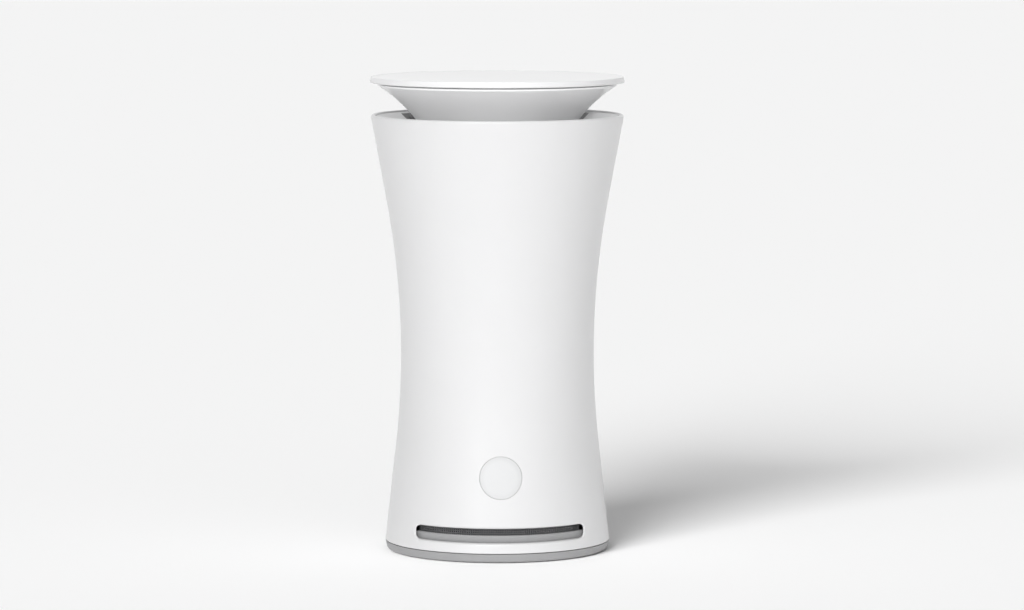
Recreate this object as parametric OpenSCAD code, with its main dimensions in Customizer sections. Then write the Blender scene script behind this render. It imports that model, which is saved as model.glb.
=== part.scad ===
// Desktop air purifier: an hourglass housing on a grey base, a lift-off cap with the filter
// cartridge under it, and a small axial fan that draws air in at the foot and drives it out
// below the cap.  Millimetres, +Z up, origin on the floor at the centre of the foot, front at -Y.

/* [Base] */
// How far the rubber foot stands below the base cover
foot_proud = 0.3; // [0.2:0.1:0.8]
// Height of the grey base cover at its rim
base_h = 2.8; // [2.6:0.1:5]
// Width of the shadow line between the base cover and the housing
base_seam = 0.2; // [0.1:0.05:0.4]
// Width of the rubber foot ring
foot_w = 4.4; // [4:0.2:6]
// Depth of the groove that holds the rubber foot ring
foot_groove = 1; // [0.6:0.1:1.2]
// Radius of the rounded lower edge of the base cover
base_round = 0.8; // [0.3:0.1:1.2]
// Thickness of the base cover's wall behind the intake slot
upstand_t = 1.3; // [1:0.1:2]

/* [Housing] */
// Height of the housing
shell_h = 142.8; // [136:0.2:160]
// Height of the waist above the housing's lower edge
waist_h = 63; // [56:1:70]
// Diameter of the housing at its waist
waist_d = 64.7; // [64:0.1:70]
// Radius of the long curve above the waist
upper_curve_r = 280; // [260:5:330]
// Slope of the straight flare below the upper rim, in degrees
upper_flare = 10.5; // [9:0.25:11]
// Radius of the long curve below the waist
lower_curve_r = 280; // [250:5:350]
// Slope of the straight flare above the base, in degrees
lower_flare = 6.4; // [5.6:0.2:8.6]
// Wall of the housing
wall = 1.8; // [1.4:0.1:2]
// Width of the rounded lip at the upper rim
lip_t = 1.5; // [1.2:0.1:1.7]
// Width of the ledge that carries the outlet collar
ledge_w = 1.2; // [0.8:0.1:1.6]

/* [Intake slots] */
// Width of the front slot across its chord
slot_w = 55.4; // [40:0.2:58]
// Height of the slots
slot_h = 4.7; // [4.6:0.1:6]
// Height of the slots' lower edge above the housing's lower edge
slot_up = 3.4; // [2:0.1:4]
// Corner radius of the slots
slot_r = 1.6; // [1:0.1:2]
// Width of each rear slot
rear_slot_w = 15; // [10:0.5:16]
// Angle between each rear slot and the middle of the back, in degrees
rear_slot_turn = 37; // [34:1:40]
// How much of the slot's height the base cover's wall fills
upstand_share = 0.5; // [0.3:0.05:0.6]
// Width of one opening in the intake mesh
mesh_gap = 1.4; // [1:0.1:1.8]

/* [Status light] */
// Diameter of the flush status window
window_d = 14; // [10:0.5:16]
// Height of the window's centre above the housing's lower edge
window_up = 24.8; // [20:0.2:30]
// Clearance round the window
window_gap = 0.05; // [0.03:0.01:0.1]

/* [Power] */
// Width of the power socket
usb_w = 8.94; // [8.9:0.01:9]
// Height of the power socket
usb_h = 3.26; // [3.2:0.01:3.3]
// Height of the power socket above the housing's lower edge
usb_up = 6; // [5:0.2:7]
// Diameter of the power button
button_d = 7; // [6:0.5:8]
// Height of the power button above the housing's lower edge
button_up = 17; // [16:0.5:20]
// How far the button stands out of the housing
button_proud = 0.5; // [0.3:0.1:1]
// Travel of the power button
button_travel = 0.5; // [0.2:0.05:0.6]

/* [Fan] */
// Height of the fan's casing
fan_h = 16; // [15:0.5:18]
// Wall of the fan's casing
fan_wall = 1.6; // [1.2:0.1:2]
// Diameter of the rotor's hub
hub_d = 19.6; // [18.5:0.2:22]
// Number of fan blades
blades = 9; // [5:1:11]
// Pitch of the blades, in degrees from the plane of the fan
blade_pitch = 38; // [30:1:45]
// Gap between the blade tips and the casing
tip_gap = 0.6; // [0.4:0.1:1]
// Diameter of the fan's shaft
shaft_d = 2; // [1.6:0.1:2.4]
// Radial running clearance of the shaft in its bearings
shaft_gap = 0.03; // [0.02:0.01:0.06]

/* [Frame] */
// Room between the frame's tube and the edge of the plate that the filter stands on
side_room = 2.4; // [2.2:0.1:4]
// Room between the fan's casing and the frame's tube
fan_room = 2; // [1.8:0.1:3]
// Height of the open intake space below the frame's tube
intake_h = 9.5; // [9:0.5:11]
// Wall of the frame's tube
frame_wall = 1.5; // [1.2:0.1:1.8]
// Thickness of the plate that the filter stands on
seat_t = 2; // [1.5:0.1:3]
// Space between the fan and the plate that the filter stands on
plenum_h = 8; // [7:0.5:12]
// Thickness of the circuit boards
board_t = 1.4; // [1:0.1:1.6]

/* [Air sensor] */
// Width of the air sensor
sensor_w = 18; // [14:0.5:18.5]
// Depth of the air sensor
sensor_d = 17; // [12:0.5:20]
// Height of the air sensor
sensor_h = 9.4; // [7:0.2:9.4]

/* [Filter] */
// Outer diameter of the filter cartridge
filter_d = 47; // [42:0.5:47.5]
// Height of the pleated paper
media_h = 56; // [50:1:58]
// Number of pleats
pleats = 36; // [24:2:40]
// Depth of the pleats
pleat_depth = 6; // [5:0.25:6.5]
// Thickness of the pleated paper
paper_t = 0.6; // [0.4:0.1:0.8]
// Thickness of the carbon sleeve
carbon_t = 2; // [1:0.25:2.5]
// Thickness of the foam gasket
gasket_t = 2; // [1:0.25:3]
// Thickness of the cartridge's end caps
end_t = 3; // [2.4:0.2:4]
// Turn that frees the cartridge from the cap, in degrees
lock_turn = 60; // [60]

/* [Outlet] */
// Slope of the outlet collar, in degrees below level
collar_slope = 37; // [34:0.5:40]
// Wall of the outlet collar
collar_t = 2; // [1.8:0.1:2.4]
// Thickness of the outlet mesh, which lies flush in the collar's windows
mesh_t = 0.9; // [0.6:0.1:1.1]
// Inner diameter of the neck that guides the cap
neck_d = 50; // [49.6:0.1:51]
// Length of the neck's straight wall
neck_len = 11; // [10:0.5:13]
// Half angle of each outlet window, in degrees
outlet_half = 53; // [40:1:60]

/* [Cap] */
// Widest diameter of the cap
cap_d = 85; // [82:0.5:90]
// Height of the open gap between the housing's rim and the cap's widest edge
cap_gap = 10.9; // [10:0.1:14]
// Height of the cap's rim above its widest edge
cap_rim = 1.8; // [1.2:0.1:2.4]
// Height of the bevel below the cap's widest edge
cap_bevel = 0.3; // [0.2:0.1:1.6]
// Depth of the dish in the cap's top
dish_depth = 1; // [0.6:0.1:1.3]
// Thickness of the seal between dish and cone
seal_t = 0.4; // [0.3:0.1:1]
// Radius of the cone's hollow curve
cone_curve_r = 49; // [46:1:54]
// Radius at which the cone's curve would stand upright
throat_r = 16.8; // [16:0.1:18]
// Wall of the cone
cone_t = 1.6; // [1.2:0.1:2]
// Radial clearance of the cap in the neck
neck_gap = 0.2; // [0.1:0.05:0.3]
// Height of the plug that guides the cap in the neck
plug_h = 7; // [6:0.5:8]
// Radius of the post that joins the dish to the cone
post_size = 4; // [3.4:0.2:5]
// Reach of the ribs under the dish
rib_reach = 29; // [20:1:32]

/* [Hidden] */
$fn = 96;
// Clearances, and the overshoot of every cut
seat_gap = 0.1;
play = 0.2;
cut = 1;
// Distances from the axis between which a cut through the housing's wall runs
side_in = 15;
side_out = 60;
// Heights, from the floor up
shell_z = foot_proud + base_h + base_seam;
rim_z = shell_z + shell_h;
waist_z = shell_z + waist_h;
base_top_z = foot_proud + base_h;
slot_z = shell_z + slot_up;
upstand_z = slot_z + upstand_share * slot_h;
tube_z = base_top_z + intake_h;
fan_z = tube_z + 5;
fan_top_z = fan_z + fan_h;
flange_t = 2;
seat_z = fan_top_z + flange_t + plenum_h;
filter_z = seat_z + seat_t + seat_gap;
media_z = filter_z + gasket_t + end_t;
media_top_z = media_z + media_h;
filter_top_z = media_top_z + end_t;
window_z = shell_z + window_up;
usb_z = shell_z + usb_up;
button_z = shell_z + button_up;
// The screws that hold base cover, frame and housing together
boss_r = 2.6;
boss_h = 6;
ear_h = 4.7;
boss_turns = [18, 162, 204, 336];
screw_r = 1.1;
head_r = 2;
head_h = 0.9;
hex_r = 1;
// The smaller screws of the fan and the main board, and the one that holds the cap together
small_screw_r = 0.8;
small_head_r = 1.5;
cap_screw_r = 1.25;
cap_head_r = 2.8;
cap_head_h = 2;
cap_screw_len = 14;
boss_ring = shell_r(shell_z) - wall - boss_r - 0.6;
boss_z = base_top_z + ear_h;

// ---------------------------------------------------------------- housing outline

// Widening of a long arc that runs on as a straight flare, at height dz from the waist
function flare(dz, curve_r, slope) =
    dz <= curve_r * sin(slope)
        ? curve_r - sqrt(curve_r * curve_r - dz * dz)
        : curve_r * (1 - cos(slope)) + (dz - curve_r * sin(slope)) * tan(slope);

// Outer radius of the housing at height z
function shell_r(z) = waist_d / 2 + (z > waist_z
    ? flare(z - waist_z, upper_curve_r, upper_flare)
    : flare(waist_z - z, lower_curve_r, lower_flare));

// Points of the housing's side from height a to height b, set in by t
function side(a, b, t, n) =
    [for (i = [0 : n]) let (z = a + (b - a) * i / n) [shell_r(z) - t, z]];

// Points of an arc about c
function arc(c, r, a, b, n) =
    [for (i = [0 : n]) let (u = a + (b - a) * i / n) c + r * [cos(u), sin(u)]];

lip_r = lip_t / 2;
lip_c = [shell_r(rim_z - lip_r) - lip_r, rim_z - lip_r];
ledge_z = rim_z - 5.2;
ledge_r = shell_r(ledge_z) - lip_t - ledge_w;

// A band of the circle from angle a to angle b, between two radii and two heights
module band(r1, r2, z1, z2, a, b) {
    rotate([0, 0, a])
        rotate_extrude(angle = b - a) translate([r1, z1]) square([r2 - r1, z2 - z1]);
}

module ring(r1, r2, z1, z2) {
    difference() {
        translate([0, 0, z1]) cylinder(r = r2, h = z2 - z1);
        translate([0, 0, z1 - cut]) cylinder(r = r1, h = z2 - z1 + 2 * cut);
    }
}

module round_rect(w, h, r) {
    square([w - 2 * r, h], center = true);
    square([w, h - 2 * r], center = true);
    for (x = [-1, 1], y = [-1, 1])
        translate([x * (w / 2 - r), y * (h / 2 - r)]) circle(r);
}

// A round-cornered bar that points out from the axis at angle a, at height z
module side_bar(a, z, w, h, r, y1, y2) {
    rotate([0, 0, a - 90]) translate([0, y2, z]) rotate([90, 0, 0])
        linear_extrude(y2 - y1) round_rect(w, h, r);
}

// A round bar that points out from the axis at angle a, at height z
module side_pin(a, z, r, y1, y2) {
    rotate([0, 0, a - 90]) translate([0, y2, z]) rotate([90, 0, 0])
        cylinder(r = r, h = y2 - y1);
}

// ---------------------------------------------------------------- base

foot_r = boss_ring + foot_w / 2;

module foot_ring() {
    color("dimgray")
        ring(foot_r - foot_w, foot_r, 0, foot_proud + foot_groove);
}

module base_outline() {
    r_top = shell_r(shell_z);
    r_low = r_top - 0.6;
    polygon(concat(
        [[0, foot_proud]],
        arc([r_low - base_round, foot_proud + base_round], base_round, -90, 0, 8),
        [[r_top, base_top_z], [0, base_top_z]]));
}

upstand_r = shell_r(slot_z) - wall - 0.3;
upstand_half = asin(slot_w / 2 / shell_r(slot_z)) + 4;
screw_floor = foot_proud + foot_groove + head_h;

module base_cover() {
    color("darkgray") difference() {
        union() {
            rotate_extrude() base_outline();
            band(upstand_r - upstand_t, upstand_r, base_top_z - cut, upstand_z,
                 -90 - upstand_half, -90 + upstand_half);
        }
        ring(foot_r - foot_w - 0.05, foot_r + 0.05, -cut, foot_proud + foot_groove);
        for (a = boss_turns) rotate([0, 0, a]) translate([boss_ring, 0, 0]) {
            cylinder(r = screw_r + 0.1, h = base_top_z + cut);
            cylinder(r = head_r + 0.1, h = screw_floor);
        }
    }
}

screw_top_z = boss_z + boss_h - 1;

module base_screws() {
    color("silver") for (a = boss_turns) rotate([0, 0, a]) translate([boss_ring, 0, 0])
        difference() {
            union() {
                translate([0, 0, screw_floor - head_h]) cylinder(r = head_r, h = head_h);
                translate([0, 0, screw_floor - 0.1])
                    cylinder(r = screw_r, h = screw_top_z - screw_floor + 0.1);
            }
            translate([0, 0, screw_floor - head_h - cut])
                cylinder(r = hex_r, h = cut + 0.5, $fn = 6);
        }
}

// ---------------------------------------------------------------- housing

button_hole_r = button_d / 2 + play;
usb_hole = [usb_w + 2 * play, usb_h + 2 * play];

module shell_solid() {
    rotate_extrude() polygon(concat(
        side(shell_z, lip_c[1], 0, 40),
        arc(lip_c, lip_r, 0, 180, 12),
        side(lip_c[1], ledge_z, lip_t, 4),
        [[ledge_r, ledge_z], [ledge_r, ledge_z - 1]],
        side(ledge_z - 4, shell_z, wall, 40)));
}

module slot_cutters() {
    side_bar(-90, slot_z + slot_h / 2, slot_w, slot_h, slot_r, side_in, side_out);
    for (s = [-1, 1])
        side_bar(90 + s * rear_slot_turn, slot_z + slot_h / 2, rear_slot_w, slot_h, slot_r,
                 side_in, side_out);
}

module body_shell() {
    color("white") difference() {
        union() {
            shell_solid();
            for (a = boss_turns) rotate([0, 0, a]) intersection() {
                union() {
                    translate([boss_ring, 0, boss_z]) cylinder(r = boss_r, h = boss_h);
                    translate([boss_ring, -1, boss_z]) cube([10, 2, boss_h]);
                }
                translate([0, 0, shell_z]) cylinder(r = shell_r(boss_z + boss_h) - 0.5, h = 40);
            }
        }
        slot_cutters();
        side_pin(-90, window_z, window_d / 2 + window_gap, side_in, side_out);
        side_bar(90, usb_z, usb_hole[0], usb_hole[1], usb_hole[1] / 2 - 0.01, side_in, side_out);
        side_pin(90, button_z, button_hole_r, side_in, side_out);
        for (a = boss_turns) rotate([0, 0, a]) translate([boss_ring, 0, boss_z - cut])
            cylinder(r = screw_r, h = boss_h + cut - 0.5);
    }
}

mesh_r = upstand_r - upstand_t - 0.1;
mesh_top_z = slot_z + slot_h + 1.5;

module intake_mesh() {
    pitch = 1.9 * mesh_gap / mesh_r * 180 / PI;
    half = floor((upstand_half - 3) / pitch);
    color("black") difference() {
        band(mesh_r - 0.8, mesh_r, base_top_z, mesh_top_z,
             -90 - upstand_half, -90 + upstand_half);
        for (i = [-half : half])
            side_bar(-90 + i * pitch, (upstand_z + mesh_top_z) / 2, mesh_gap,
                     mesh_top_z - upstand_z - 1.2, 0.3, mesh_r - 3, mesh_r + 3);
    }
}

// ---------------------------------------------------------------- frame

plate_r = shell_r(seat_z + seat_t) - wall - 0.3;
tube_r = plate_r - side_room;
tube_in = tube_r - frame_wall;
fan_d = 2 * (tube_in - fan_room);
bore_r = filter_d / 2 - pleat_depth - carbon_t - 1.6;
board_w = 27;
board_y = tube_in - 0.7;
board_z = base_top_z + 1.6;
board_h = 33;
lug_turns = [30, 150, 270];
lug_ring = fan_d / 2;
lug_round = 1.5;
rail_w = 4;
rail_d = 5;

module inner_frame() {
    color("lightgray") difference() {
        union() {
            ring(tube_in, tube_r, tube_z, seat_z + seat_t);
            ring(tube_in - 5, tube_in + 0.5, fan_top_z, fan_top_z + flange_t);
            ring(bore_r, plate_r, seat_z, seat_z + seat_t);
            for (a = boss_turns) rotate([0, 0, a]) {
                translate([boss_ring, 0, base_top_z]) cylinder(r = boss_r, h = ear_h);
                translate([tube_in, -1.5, base_top_z])
                    cube([boss_ring - tube_in, 3, ear_h]);
                translate([tube_in + 0.02, -3, base_top_z])
                    cube([frame_wall - 0.1, 6, tube_z - base_top_z + cut]);
            }
            for (s = [-1, 1])
                translate([s * (board_w - rail_w) / 2 - rail_w / 2, board_y - rail_d, tube_z])
                    cube([rail_w, rail_d, seat_z - tube_z]);
        }
        translate([-board_w / 2 + rail_w, board_y - 2.4, base_top_z - cut])
            cube([board_w - 2 * rail_w, side_out, seat_z - base_top_z]);
        translate([-board_w / 2 - 0.3, board_y, base_top_z - cut])
            cube([board_w + 0.6, side_out, seat_z - base_top_z]);
        translate([0, 0, tube_z - cut]) cylinder(r = tube_in - 5, h = seat_z - tube_z);
        translate([0, 0, tube_z - cut])
            cylinder(r = fan_d / 2 + 0.1, h = fan_top_z - tube_z + cut);
        for (a = boss_turns) rotate([0, 0, a]) translate([boss_ring, 0, 0])
            cylinder(r = screw_r + 0.1, h = boss_z + cut);
        for (a = lug_turns) rotate([0, 0, a]) translate([lug_ring, 0, fan_top_z - cut])
            cylinder(r = small_screw_r, h = flange_t + 2 * cut);
        for (s = [-1, 1], z = board_screw_z)
            translate([s * (board_w - rail_w) / 2, board_y + cut, z]) rotate([90, 0, 0])
                cylinder(r = small_screw_r, h = rail_d);
    }
}

board_screw_z = [tube_z + 3, board_z + board_h - 3];

module main_board() {
    color("seagreen") difference() {
        translate([-board_w / 2, board_y, board_z]) cube([board_w, board_t, board_h]);
        for (s = [-1, 1], z = board_screw_z)
            translate([s * (board_w - rail_w) / 2, board_y + board_t + cut, z]) rotate([90, 0, 0])
                cylinder(r = small_screw_r + play, h = board_t + 2 * cut);
    }
}

module board_screws() {
    color("silver") for (s = [-1, 1], z = board_screw_z)
        translate([s * (board_w - rail_w) / 2, board_y + board_t, z]) rotate([90, 0, 0]) {
            translate([0, 0, -head_h]) cylinder(r = small_head_r, h = head_h);
            translate([0, 0, -0.1]) cylinder(r = small_screw_r, h = board_t + 3);
        }
}

// The socket's mouth lies a little inside the housing's outer face
usb_mouth = shell_r(usb_z) - 0.7;
usb_sheet = 0.35;
tongue_w = 6.6;
tongue_t = 0.7;

module usb_socket() {
    back = board_y + board_t;
    color("silver") difference() {
        side_bar(90, usb_z, usb_w, usb_h, usb_h / 2 - 0.01, back, usb_mouth);
        difference() {
            side_bar(90, usb_z, usb_w - 2 * usb_sheet, usb_h - 2 * usb_sheet,
                     usb_h / 2 - usb_sheet - 0.01, back + 1.5, usb_mouth + cut);
            translate([-tongue_w / 2, 0, usb_z - tongue_t / 2])
                cube([tongue_w, usb_mouth - 0.8, tongue_t]);
        }
    }
}

switch_y = board_y + board_t;
switch_d = 3.2;
switch_w = 6;
flange_gap = 0.3;
button_r = button_d / 2;
button_flange_r = button_r + 1;
// The flange stays clear of the housing's curved wall at its edge and lower side
button_flange_y = sqrt(pow(shell_r(button_z + button_flange_r) - wall, 2)
                       - pow(button_flange_r, 2)) - flange_gap;
button_back_y = button_flange_y - 0.9;
plunger_r = 1.7;

module power_switch() {
    color("dimgray") difference() {
        translate([-switch_w / 2, switch_y, button_z - switch_w / 2])
            cube([switch_w, switch_d, switch_w]);
        side_pin(90, button_z, plunger_r + 0.15, switch_y + 0.5, switch_y + switch_d + cut);
    }
}

module switch_plunger() {
    color("black")
        side_pin(90, button_z, plunger_r, switch_y + 0.5 + button_travel + 0.3, button_back_y);
}

module power_button() {
    color("gainsboro") {
        side_pin(90, button_z, button_flange_r, button_back_y, button_flange_y);
        side_pin(90, button_z, button_r, button_flange_y - 0.1,
                 shell_r(button_z) + button_proud);
    }
}

module air_sensor() {
    front = board_y - sensor_d;
    slit = 1;
    color("slategray") difference() {
        translate([-sensor_w / 2, front, base_top_z]) cube([sensor_w, sensor_d, sensor_h]);
        for (i = [-3 : 3])
            translate([(i * sensor_w / 9) - slit / 2, front - cut, base_top_z + sensor_h / 3])
                cube([slit, 2 * cut, sensor_h / 2]);
    }
}

// ---------------------------------------------------------------- status light

module status_window() {
    color("gainsboro") intersection() {
        shell_solid();
        side_pin(-90, window_z, window_d / 2, side_in, side_out);
    }
}

// The board stands on the frame's tube, and its lamps lie just behind this plane
led_y = tube_r + board_t + 0.6;

guide_r = window_d / 2 - 2;
// The guide's flat front stays just clear of the housing's curved wall
guide_y = sqrt(pow(shell_r(window_z + guide_r) - wall, 2) - pow(guide_r, 2)) - seat_gap;

module light_guide() {
    color("whitesmoke") side_pin(-90, window_z, guide_r, led_y, guide_y);
}

led_board_w = 17;
led_board_h = 15;
led_size = 1.6;
led_step = 3;

module led_board() {
    color("seagreen") difference() {
        union() {
            translate([-led_board_w / 2, -led_y + 0.4, window_z - led_board_h / 2])
                cube([led_board_w, board_t, led_board_h]);
            for (x = [-1, 1], z = [-1, 1])
                translate([x * led_step - led_size / 2, -led_y + 0.05,
                           window_z + z * led_step - led_size / 2])
                    cube([led_size, 1, led_size]);
        }
        for (x = [-1, 1]) translate([x * (led_board_w / 2 - 1.6), 0, window_z]) rotate([90, 0, 0])
            cylinder(r = small_screw_r, h = side_out);
    }
}

module led_ribbon() {
    color("tan") band(tube_r + 0.1, tube_r + 0.4, window_z + 2, window_z + 6.5,
                      -90 + asin(led_board_w / 2 / tube_r) - 2,
                      90 - asin(board_w / 2 / tube_r) - 1);
}

// ---------------------------------------------------------------- fan

fan_in = fan_d / 2 - fan_wall;
hub_r = hub_d / 2;
hub_z = fan_z + 2.6;
hub_top_z = fan_top_z - 1;
shaft_r = shaft_d / 2;
post_r = shaft_r + 1.9;
bearing_r = shaft_r + 1.2;
stator_r = hub_r - 2.9;
stator_top_z = hub_top_z - 3;
spoke_w = 2;
spoke_h = 1.6;
hub_t = 1.2;
post_top_z = hub_top_z - hub_t - 1;
connector_w = 6;
connector_h = 5;

module fan_casing() {
    color("dimgray") difference() {
        union() {
            translate([0, 0, fan_z]) linear_extrude(fan_h) difference() {
                union() {
                    circle(fan_d / 2);
                    for (a = lug_turns) rotate(a) translate([lug_ring, 0]) circle(lug_round);
                }
                circle(fan_in);
                for (a = lug_turns) rotate(a) translate([lug_ring, 0]) circle(small_screw_r + 0.15);
            }
            translate([0, 0, fan_z]) cylinder(r = hub_r, h = spoke_h);
            for (a = [45 : 90 : 315]) rotate([0, 0, a])
                translate([hub_r - 1, -spoke_w / 2, fan_z])
                    cube([fan_in - hub_r + 2, spoke_w, spoke_h]);
            translate([0, 0, fan_z]) cylinder(r = post_r, h = post_top_z - fan_z);
        }
        translate([0, 0, fan_z + 1]) cylinder(r = bearing_r, h = fan_h);
    }
}

module fan_screws() {
    color("silver") for (a = lug_turns) rotate([0, 0, a]) translate([lug_ring, 0, fan_z]) {
        translate([0, 0, -head_h]) cylinder(r = small_head_r, h = head_h);
        translate([0, 0, -0.1]) cylinder(r = small_screw_r, h = fan_h + flange_t);
    }
}

module fan_connector() {
    color("white") translate([-connector_w / 2, fan_d / 2 + 0.02, fan_z + 2])
        cube([connector_w, board_y - fan_d / 2 - 0.02, connector_h]);
}

module fan_stator() {
    color("peru") {
        ring(post_r + 0.02, post_r + 1, hub_z + 0.5, stator_top_z);
        for (a = [0 : 90 : 270]) rotate([0, 0, a]) intersection() {
            translate([post_r + 0.5, -post_r * 2 / 3, hub_z + 0.5])
                cube([stator_r, post_r * 4 / 3, stator_top_z - hub_z - 0.5]);
            cylinder(r = stator_r, h = fan_top_z);
        }
    }
}

bearing_h = 2.5;
bearing_z = [fan_z + 1, post_top_z - bearing_h];

module fan_bearings() {
    color("silver") for (z = bearing_z) ring(shaft_r + shaft_gap, bearing_r, z, z + bearing_h);
}

module fan_shaft() {
    low_z = bearing_z[0] + 0.3;
    color("gray") translate([0, 0, low_z]) cylinder(r = shaft_r, h = hub_top_z - hub_t - low_z);
}

module fan_magnet() {
    color("black") ring(hub_r - hub_t - 0.8, hub_r - hub_t, hub_z + 0.5, hub_top_z - hub_t - 0.4);
}

module fan_rotor() {
    blade_t = 1.2;
    blade_r = fan_in - tip_gap;
    blade_z = hub_z + 0.4;
    blade_h = hub_top_z - 0.5 - blade_z;
    color("darkgray") {
        difference() {
            translate([0, 0, hub_z]) cylinder(r = hub_r, h = hub_top_z - hub_z);
            translate([0, 0, hub_z - cut])
                cylinder(r = hub_r - hub_t, h = hub_top_z - hub_z - hub_t + cut);
        }
        intersection() {
            for (i = [0 : blades - 1]) rotate([0, 0, 360 * i / blades])
                translate([0, 0, blade_z + blade_h / 2]) rotate([blade_pitch, 0, 0])
                    translate([hub_r - 0.6, -20, -blade_t / 2]) cube([20, 40, blade_t]);
            ring(hub_r - 0.6, blade_r, blade_z, blade_z + blade_h);
        }
    }
}

// ---------------------------------------------------------------- outlet

collar_r = shell_r(rim_z - 1.2) - lip_t - 0.12;
collar_z = rim_z - 0.5;
neck_r = neck_d / 2;
neck_out = neck_r + collar_t;
// Upper surface of the collar at radius r
function collar_top(r) = collar_z - (collar_r - r) * tan(collar_slope);
collar_drop = collar_t / cos(collar_slope);
neck_top_z = collar_top(neck_r);
neck_z = neck_top_z - neck_len - 2;
neck_lip = 1;
window_in = neck_out + 0.6;
window_out = collar_r - 0.35;
mesh_sink = 0.2;
mesh_seat = 1.3;

module collar_solid() {
    rotate_extrude() polygon([
        [neck_r, neck_top_z],
        [collar_r, collar_z],
        [shell_r(ledge_z) - lip_t - 0.12, ledge_z],
        [shell_r(ledge_z) - lip_t - ledge_w - 0.4, ledge_z],
        [collar_r - 2, collar_top(collar_r - 2) - collar_drop],
        [neck_out, collar_top(neck_out) - collar_drop],
        [neck_out, neck_z],
        [neck_r - neck_lip, neck_z],
        [neck_r - neck_lip, neck_z + 2],
        [neck_r, neck_z + 2]]);
}

// A sector of a slanting sheet between two radii, whose faces lie a and b below the collar's top
module collar_sector(r1, r2, a, b, half) {
    da = a / cos(collar_slope);
    db = b / cos(collar_slope);
    rotate([0, 0, -half]) rotate_extrude(angle = 2 * half) polygon([
        [r1, collar_top(r1) - db], [r2, collar_top(r2) - db],
        [r2, collar_top(r2) - da], [r1, collar_top(r1) - da]]);
}

// Turn at radius r that a step of length d makes, in degrees
function turn(d, r) = d / r * 180 / PI;

module outlet_collar() {
    color("white") difference() {
        collar_solid();
        for (a = [-90, 90]) rotate([0, 0, a]) {
            collar_sector(window_in, window_out, -4, mesh_sink + mesh_t + 0.05, outlet_half);
            collar_sector(window_in + mesh_seat, window_out - mesh_seat, -4, collar_t + 4,
                          outlet_half - turn(mesh_seat, window_in));
        }
    }
}

module outlet_mesh() {
    bars = 22;
    slit_w = 0.9;
    slit_in = window_in + mesh_seat + 0.3;
    slit_out = window_out - mesh_seat - 0.3;
    half = outlet_half - turn(mesh_seat + 0.6, window_in);
    color("dimgray") for (a = [-90, 90]) rotate([0, 0, a]) difference() {
        collar_sector(window_in + 0.05, window_out - 0.05, mesh_sink, mesh_sink + mesh_t,
                      outlet_half - 0.2);
        for (i = [-bars : bars])
            rotate([0, 0, half * i / bars])
                translate([slit_in, -slit_w / 2, neck_z])
                    cube([slit_out - slit_in, slit_w, rim_z - neck_z]);
    }
}

// ---------------------------------------------------------------- cap

cap_r = cap_d / 2;
cap_z = rim_z + cap_gap;
dish_low_z = cap_z - cap_bevel;
seal_z = dish_low_z - seal_t;
cap_top_z = cap_z + cap_rim;
flange_r = cap_r - 2.6;
// Radius and height of the cone's hollow curve at angle u from its throat
function cone_point(u, t) =
    [throat_r + cone_curve_r - (cone_curve_r + t) * cos(u), throat_z + (cone_curve_r + t) * sin(u)];
plug_z = neck_z + 2 + seat_gap;
plug_top_z = plug_z + plug_h;
plug_r = neck_r - neck_gap;
// The flange: a rounded edge of this width, this far above the end of the cone's curve
lip_out = 1;
lip_up = 1.2;
lip_end_u = acos((throat_r + cone_curve_r - flange_r + lip_out) / cone_curve_r);
throat_z = seal_z - lip_up - cone_curve_r * sin(lip_end_u);
plug_u = asin((plug_top_z - throat_z) / cone_curve_r);
inner_u = asin((plug_z + 2 - throat_z) / (cone_curve_r + cone_t));
hub_low_z = filter_top_z + 4;
lock_r = 8;
lug_r = lock_r + 1.8;
lug_t = 2;
lug_w = 4;
groove_z = plug_z + 3;
groove_h = 1.7;
groove_d = 1.6;
cone_rim_in = flange_r - 3;
cone_in = 3;
screw_hole_r = cap_screw_r + 0.45;

module cone_outline() {
    polygon(concat(
        [[cone_in, plug_z], [plug_r, plug_z], [plug_r, groove_z], [plug_r - groove_d, groove_z],
         [plug_r - groove_d, groove_z + groove_h], [plug_r, groove_z + groove_h],
         [plug_r, plug_top_z]],
        [for (i = [0 : 14]) cone_point(plug_u + (lip_end_u - plug_u) * i / 14, 0)],
        [[flange_r - lip_out + 0.3, seal_z - lip_up + 0.1],
         [flange_r - 0.1, seal_z - 0.35], [flange_r, seal_z],
         [cone_rim_in, seal_z]],
        [for (i = [0 : 12]) cone_point(lip_end_u - 2 + (inner_u - lip_end_u + 2) * i / 12, cone_t)],
        [[cone_in, plug_z + 2]]));
}

module cap_cone() {
    color("white") {
        rotate_extrude() cone_outline();
        difference() {
            translate([0, 0, hub_low_z]) cylinder(r = lock_r, h = plug_z - hub_low_z + 1);
            translate([0, 0, hub_low_z - cut]) cylinder(r = lock_r - 2, h = plug_z - hub_low_z + cut);
            translate([0, 0, hub_low_z]) cylinder(r = screw_hole_r, h = side_out);
        }
        for (a = [0, 120, 240]) rotate([0, 0, a + 30])
            translate([lock_r - 0.6, -lug_w / 2, hub_low_z])
                cube([lug_r - lock_r + 0.4, lug_w, lug_t]);
    }
}

module neck_seal() {
    r = groove_h / 2;
    color("black") rotate_extrude()
        translate([plug_r - groove_d + r, groove_z + r]) circle(r - 0.02, $fn = 32);
}

module cap_seal() {
    color("gray") ring(cone_rim_in + 0.5, flange_r - 0.8, seal_z, dish_low_z);
}

dish_edge = 0.5;
dish_floor_z = cap_top_z - dish_depth;
dish_rim_r = cap_r - 0.9;
post_low_z = plug_z + 2;
rib_w = 1.2;
rib_h = 4;

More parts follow.
